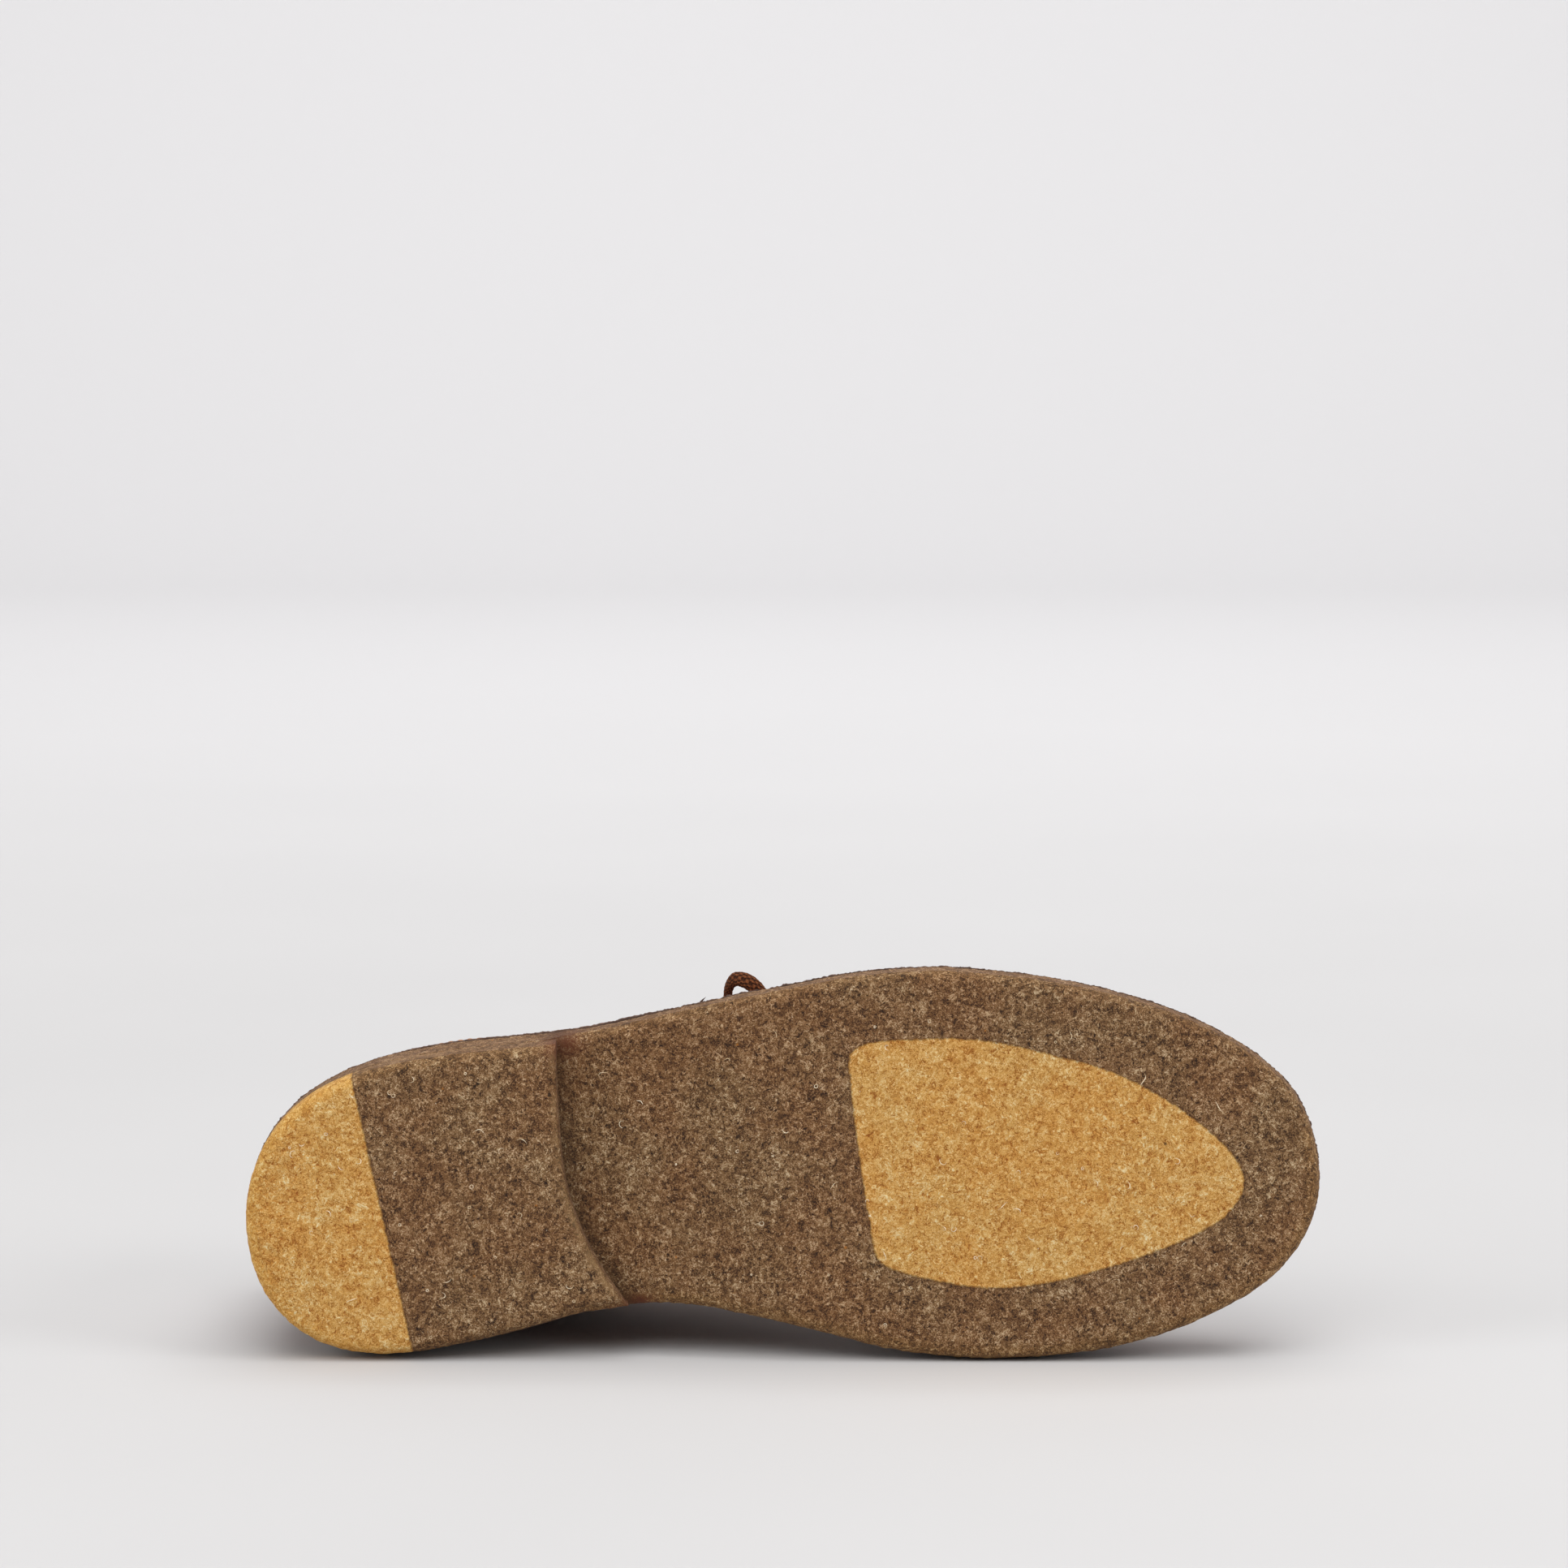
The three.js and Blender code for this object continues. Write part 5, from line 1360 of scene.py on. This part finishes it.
def stitches(mesh, line, normals, pitch, length, radius):
    """A row of stitches along a line, each sunk a little where it enters."""
    run = gone_along(line)
    centres = np.arange(pitch / 2, run[-1], pitch)
    up = unit(read_along(centres, run, normals))
    along = unit(read_along(centres + 0.5, run, line) - read_along(centres - 0.5, run, line))
    angles = np.arange(STITCH_SIDES) / STITCH_SIDES * 2 * np.pi
    faces = []
    for ring in range(len(STITCH_RINGS) - 1):
        for k in range(STITCH_SIDES):
            a, b = ring * STITCH_SIDES + k, ring * STITCH_SIDES + (k + 1) % STITCH_SIDES
            faces += [(a, b, b + STITCH_SIDES), (a, b + STITCH_SIDES, a + STITCH_SIDES)]
    for centre, tangent, normal in zip(read_along(centres, run, line), along, up):
        ring = np.cross(tangent, normal) * np.cos(angles)[:, None] + normal * 0.8 * np.sin(angles)[:, None]
        points = []
        for place, size in STITCH_RINGS:
            middle = centre + tangent * place * length - normal * radius * 1.5 * (2 * place) ** 4
            points.append(middle + ring * radius * size)
        mesh.add(np.vstack(points), faces)


def seam_line(v, u, height):
    points, normals, swell = skin(v, u)
    return points + normals * (height + swell)[..., None], normals


def rate(v, u, dv, du):
    """Millimetres on the surface for one step of v or u."""
    return np.linalg.norm(surface(v + dv, u + du) - surface(v, u), axis=-1) / max(abs(dv), abs(du))


def make_stitching():
    mesh = Mesh()
    line = flange_line(FLANGE_SEAM, FLANGE_THICKNESS + 0.05)
    stitches(mesh, line, np.tile([0.0, 0.0, 1.0], (len(line), 1)), **FLANGE_STITCH)
    height = QUARTER_STEP + 0.12
    s = np.linspace(0.0, 0.93, 220)
    for side in (-1, 1):
        front, top = front_edge_slices(s, side), collar_slices(s, side)
        seams = []
        for away in FRONT_SEAMS:
            v = front + away / rate(front, place_on(front, s, side), 0.05, 0)
            seams.append((v, place_on(v, s, side), height))
        v = top - COLLAR_SEAM / rate(top, place_on(top, s, side), -0.05, 0)
        seams.append((v, place_on(v, s, side), height))
        v = np.linspace(THROAT_END + 0.25, float(top[0]) - 0.25, 160)
        slit = side * throat_place(v)
        for away in THROAT_SEAMS:
            seams.append((v, slit + side * away / rate(v, slit, 0, side * 0.02), height))
        v = np.linspace(HEEL_SEAM_FROM + 0.2, float(top[-1]) - 0.12, 160)
        u = backstay_place(slice_at(v), BACKSTAY_WIDTH / 2 - BACKSTAY_SEAM, side)
        seams.append((v, u, height + BACKSTAY_STEP))
        for seam in seams:
            stitches(mesh, *seam_line(*seam), **SEAM_STITCH)
    build(mesh, "stitching", [THREAD], 180, FINE)


make_backstay()
make_flange()
make_stitching()


# Tongue, eyelets and the tied lace
def on_upper(v, side, distance, height):
    """A place on the upper: a distance round the slice from its ridge, and a height over the surface."""
    u = np.linspace(0, 1, 400) * side
    at = np.array([np.interp(distance, gone_along(surface(np.full_like(u, v), u)), u)])
    here = np.array([v])
    normal = surface_normals(here, at)[0]
    return surface(here, at)[0] + normal * height, normal


def make_tongue():
    start, deep, narrows_from, end = 8.6, 10.2, 17.0, 18.4
    share = np.linspace(-1, 1, 61)
    u = np.linspace(-1, 1, 801)
    outer, inner = [], []
    for v in np.linspace(start, end, 100):
        drop = UPPER_WALL + 0.5 + (TONGUE_DROP - 0.5) * float(smoothstep(v, start, deep))
        taper = 1 - 0.3 * np.clip((v - narrows_from) / (end - narrows_from), 0, 1) ** 2
        gone = gone_along(surface(np.full_like(u, v), u))
        at = np.interp(share * TONGUE_WIDTH * taper / 2, gone - gone[400], u)
        v_row = np.full_like(at, v)
        points, normals = surface(v_row, at), surface_normals(v_row, at)
        edge = rounded((1 - np.abs(share)) * TONGUE_WIDTH / 2, 1.0) * rounded(np.array((end - v) * 12.0), 1.0)
        wave = suede_waves(points) * 0.6
        middle = -drop - TONGUE_THICKNESS / 2
        half = TONGUE_THICKNESS / 2 * (0.35 + 0.65 * edge)
        outer.append(points + normals * (middle + half + wave)[..., None])
        inner.append(points + normals * (middle - half + wave)[..., None])
    outer, inner = np.stack(outer), np.stack(inner)
    mesh = Mesh()
    mesh.grid(outer, flip=True)
    mesh.grid(inner, kind=1)
    sides = dict.fromkeys(("last_row", "first_row", "last_column", "first_column"))
    mesh.rims(outer, inner, sides, True, 2)
    made = build(mesh, "suede_tongue", [SUEDE, LINING, SUEDE_EDGE], sharp=60)
    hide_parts("tongue")


def make_eyelets():
    seat = QUARTER_STEP + GAP
    top = seat + EYELET_RIM_THICKNESS
    under = -UPPER_WALL - GAP
    bore, barrel, rim = EYELET_BORE / 2, EYELET_BARREL / 2, EYELET_RIM / 2
    profile = (
        (bore, under), (bore, top - 0.3), (bore + 0.15, top - 0.08), (bore + 0.5, top + 0.05),
        (rim - 0.9, top), (rim - 0.25, top - 0.3), (rim, seat + 0.15), (rim - 0.05, seat),
        (barrel, seat), (barrel, under), (bore, under),
    )
    angles = np.linspace(0, 2 * np.pi, 49)
    for pair, v in zip(("lower", "upper"), EYELET_SLICES):
        for side, word in ((-1, "lateral"), (1, "medial")):
            place, normal = on_upper(v, side, EYELET_REACH, 0)
            first = unit(np.cross(normal, [0.0, 1.0, 0.0]))
            second = np.cross(normal, first)
            ring = first * np.cos(angles)[:, None] + second * np.sin(angles)[:, None]
            rings = [place + ring * radius + normal * height for radius, height in profile]
            mesh = Mesh()
            mesh.grid(np.stack(rings), flip=True)
            made = build(mesh, f"metal_eyelet_{pair}_{word}", [METAL], sharp=40)
            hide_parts(f"eyelet_{pair}_{word}")


def knot_axes():
    place, normal = on_upper(KNOT_SLICE, 1, 0, KNOT_ABOVE)
    along = unit(np.cross([0.0, 1.0, 0.0], normal))
    return place, along, normal


def make_lace_bars():
    """The lace from the lower bar through the eyelets, crossing inside and coming out beside the knot."""
    half_thick = LACE_THICKNESS / 2
    rim_top = QUARTER_STEP + GAP + EYELET_RIM_THICKNESS
    over = rim_top + GAP + half_thick + 0.5
    under = -(UPPER_WALL + GAP + half_thick + 0.6)
    low, high = EYELET_SLICES
    # Slice, own side or the other one, distance from the ridge, height over the surface
    run = (
        (low, 1, 0, over), (low, 1, EYELET_REACH - 5, over + 0.2), (low, 1, EYELET_REACH - 1.5, over - 0.2),
        (low, 1, EYELET_REACH, rim_top - 0.6), (low, 1, EYELET_REACH, -UPPER_WALL),
        (low + 0.1, 1, EYELET_REACH - 1.5, under - 0.2), (low + 0.4, 1, EYELET_REACH - 6, under - 0.6),
        ((low + high) / 2, 1, 0, under - 0.9), (high - 0.4, -1, EYELET_REACH - 6, under - 0.6),
        (high - 0.1, -1, EYELET_REACH - 1.5, under - 0.2), (high, -1, EYELET_REACH, -UPPER_WALL),
        (high, -1, EYELET_REACH, rim_top - 0.6), (high, -1, EYELET_REACH - 1.5, over - 0.1),
    )
    place = knot_axes()[0]
    for side, word in ((-1, "lateral"), (1, "medial")):
        beside = place + np.array([0, -side * KNOT_ACROSS / 2, 0.0])
        points = [on_upper(v, side * own, distance, height)[0] for v, own, distance, height in run]
        points += [beside + np.array([0, -side * 4, 0.0]), beside]
        start = on_upper(low, side, 0, over)[1]
        made = braid(route(points, LACE_STEP), [start], f"braid_bar_{word}")
        if side < 0:
            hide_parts("lace_bars")


def make_knot():
    """The bow's knot: two turns of lace round the strands that meet in it."""
    place, along, normal = knot_axes()
    angles = np.linspace(0, 2 * np.pi, 60)
    for number, (y, lean) in enumerate(((-2.4, 0.7), (2.3, -0.5))):
        ring = along * 3.9 * np.cos(angles)[:, None] + normal * 3.3 * np.sin(angles)[:, None]
        ring = ring + np.array([0, 1.0, 0]) * (y + lean * np.cos(angles))[:, None] + place
        made = braid(evenly(ring, LACE_STEP), [along], f"braid_knot_turn_{number}")
        if number == 0:
            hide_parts("lace_knot")
    strands = ((-1.7, -1.2), (1.7, -1.1), (-1.6, 1.3), (1.7, 1.4))
    for number, (ahead, above) in enumerate(strands):
        ends = [
            place + along * ahead * (1 + 0.25 * share**2) + normal * above * (1 + 0.2 * share**2)
            + np.array([0, share * KNOT_ACROSS / 2, 0])
            for share in (-1.0, -0.4, 0.3, 1.0)
        ]
        braid(route(ends, LACE_STEP), [normal], f"braid_knot_strand_{number}")


make_tongue()
make_eyelets()
make_lace_bars()
make_knot()

insole = frame["nodes"]["insole"]
insole.data.materials.clear()
insole.data.materials.append(SOCK)


# Loose fibres of the crepe and a thread's end at the flange
FIBRE_SPOTS = ((90.5, 30.5), (181.8, -39.6))
FIBRE_TRIES = 100
FIBRE_RADIUS = 0.1
THREAD_END_AT = 132.9


def tread_height(x, y):
    return np.where(x < breast_x(y), 0.0, underside(x))


def make_fibres():
    """Tiny pale curls of rubber that stand off the tread."""
    chance = np.random.default_rng(11)
    mesh = Mesh()
    spots = [*FIBRE_SPOTS, *zip(chance.uniform(8, 292, FIBRE_TRIES), chance.uniform(-46, 46, FIBRE_TRIES))]
    edge = outline_line(5.5)
    for x, y in spots:
        if not inside(np.array([[x, y]]), edge)[0] or abs(x - breast_x(np.array(y))) < 5:
            continue
        heading = chance.uniform(0, 2 * np.pi)
        curl = chance.uniform(-1.1, 1.1)
        step = chance.uniform(0.22, 0.42)
        points = [np.array([x, y])]
        for _ in range(9):
            heading += curl + chance.uniform(-0.35, 0.35)
            points.append(points[-1] + step * np.array([math.cos(heading), math.sin(heading)]))
        flat = np.array(points)
        rise = np.sin(np.linspace(0.2, np.pi, len(flat))) * chance.uniform(0.1, 0.45)
        line = np.column_stack([flat, tread_height(flat[:, 0], flat[:, 1]) - 0.16 - rise])
        radii = FIBRE_RADIUS * np.sin(np.linspace(0.25, np.pi - 0.25, len(line)))
        mesh.grid(tube(line, radii, 5), flip=True)
    build(mesh, "crepe_fibres", [FIBRE], 180, FINE)


def make_thread_end():
    """A short curled end of thread that stands up from the flange's rim on the lateral side."""
    rim = flange_line(FLANGE_SETBACK, 1.0)
    rim = rim[: len(rim) // 2]
    root = rim[np.argmin(np.abs(rim[:, 0] - THREAD_END_AT))]
    away = np.array([0.0, -1.0, 0.1])
    steps = np.linspace(0, 1, 12)[:, None]
    line = root + away * (steps * 2.2 - 0.6) + np.array([1.8, 0, 0]) * steps**2
    mesh = Mesh()
    mesh.grid(tube(line, 0.6 * (1.04 - steps), 8), flip=True)
    build(mesh, "flange_thread_end", [SUEDE_EDGE], 180, FINE)


make_fibres()
make_thread_end()


# Floor and light, in metres and watts. Each lamp has its place, its aim, its size and its power.
FLOOR_FRONT = -4.0
FLOOR_DEPTH = 3.2
FLOOR_HALF_WIDTH = 5.0
BACK_RADIUS = 1.2
WALL_HEIGHT = 5.0
WORLD_COLOUR = (1.0, 0.985, 0.99, 1)
WORLD_STRENGTH = 0.28
SHOE_MIDDLE = (0, 0, 0.05)
LAMPS = (
    ("key", (0.3, 0.1, 2.5), SHOE_MIDDLE, 2.6, 44),
    ("fill", (-0.2, -2.4, 2.3), SHOE_MIDDLE, 2.2, 47),
    ("side_right", (2.5, -1.3, 1.3), SHOE_MIDDLE, 1.6, 33),
    ("side_left", (-2.4, -1.4, 1.3), SHOE_MIDDLE, 1.6, 26),
    ("backdrop", (0, 1.6, 3.6), (0, 4.4, 2.0), 3.0, 72),
)


def make_stage():
    """A pale floor that curves up into a wall behind the boot, with painted light: darker near the boot and
    lighter toward the wall.
    """
    profile = [(FLOOR_FRONT, 0.0), (FLOOR_DEPTH, 0.0)]
    for angle in np.linspace(0, math.pi / 2, 25)[1:]:
        profile.append((FLOOR_DEPTH + BACK_RADIUS * math.sin(angle), BACK_RADIUS * (1 - math.cos(angle))))
    profile.append((FLOOR_DEPTH + BACK_RADIUS, WALL_HEIGHT))
    points = [(x, y, z) for y, z in profile for x in (-FLOOR_HALF_WIDTH, FLOOR_HALF_WIDTH)]
    faces = [(2 * k, 2 * k + 1, 2 * k + 3, 2 * k + 2) for k in range(len(profile) - 1)]
    data = bpy.data.meshes.new("floor")
    data.from_pydata(points, [], faces)
    data.shade_smooth()
    g = Graph("pale_floor", roughness=0.9)
    near = g.ramp(g.noise(3, 2, 0.5), (0.3, (196, 195, 195)), (0.7, (199, 198, 198)))
    depth = g.node("ShaderNodeSeparateXYZ", {"Vector": g.here}).outputs["Y"]
    # Painted light: the floor's colour grows lighter from the front toward the wall, in place of how the
    # lamps light the sweep
    g.colour(g.mix(g.step(depth, 0.3, 3.0), near, linear(231, 230, 231)))
    data.materials.append(g.material)
    floor = bpy.data.objects.new("floor", data)
    bpy.context.scene.collection.objects.link(floor)


def make_light():
    world = bpy.data.worlds.new("studio")
    world.use_nodes = True
    background = world.node_tree.nodes["Background"].inputs
    background["Color"].default_value = WORLD_COLOUR
    background["Strength"].default_value = WORLD_STRENGTH
    bpy.context.scene.world = world
    for name, at, aim, size, power in LAMPS:
        data = bpy.data.lights.new(name, "AREA")
        data.shape = "SQUARE"
        data.size = size
        data.energy = power
        lamp = bpy.data.objects.new(name, data)
        lamp.location = at
        lamp.rotation_euler = (Vector(aim) - Vector(at)).to_track_quat("-Z", "Y").to_euler()
        bpy.context.scene.collection.objects.link(lamp)


make_stage()
make_light()
bpy.context.scene.view_settings.view_transform = "Standard"
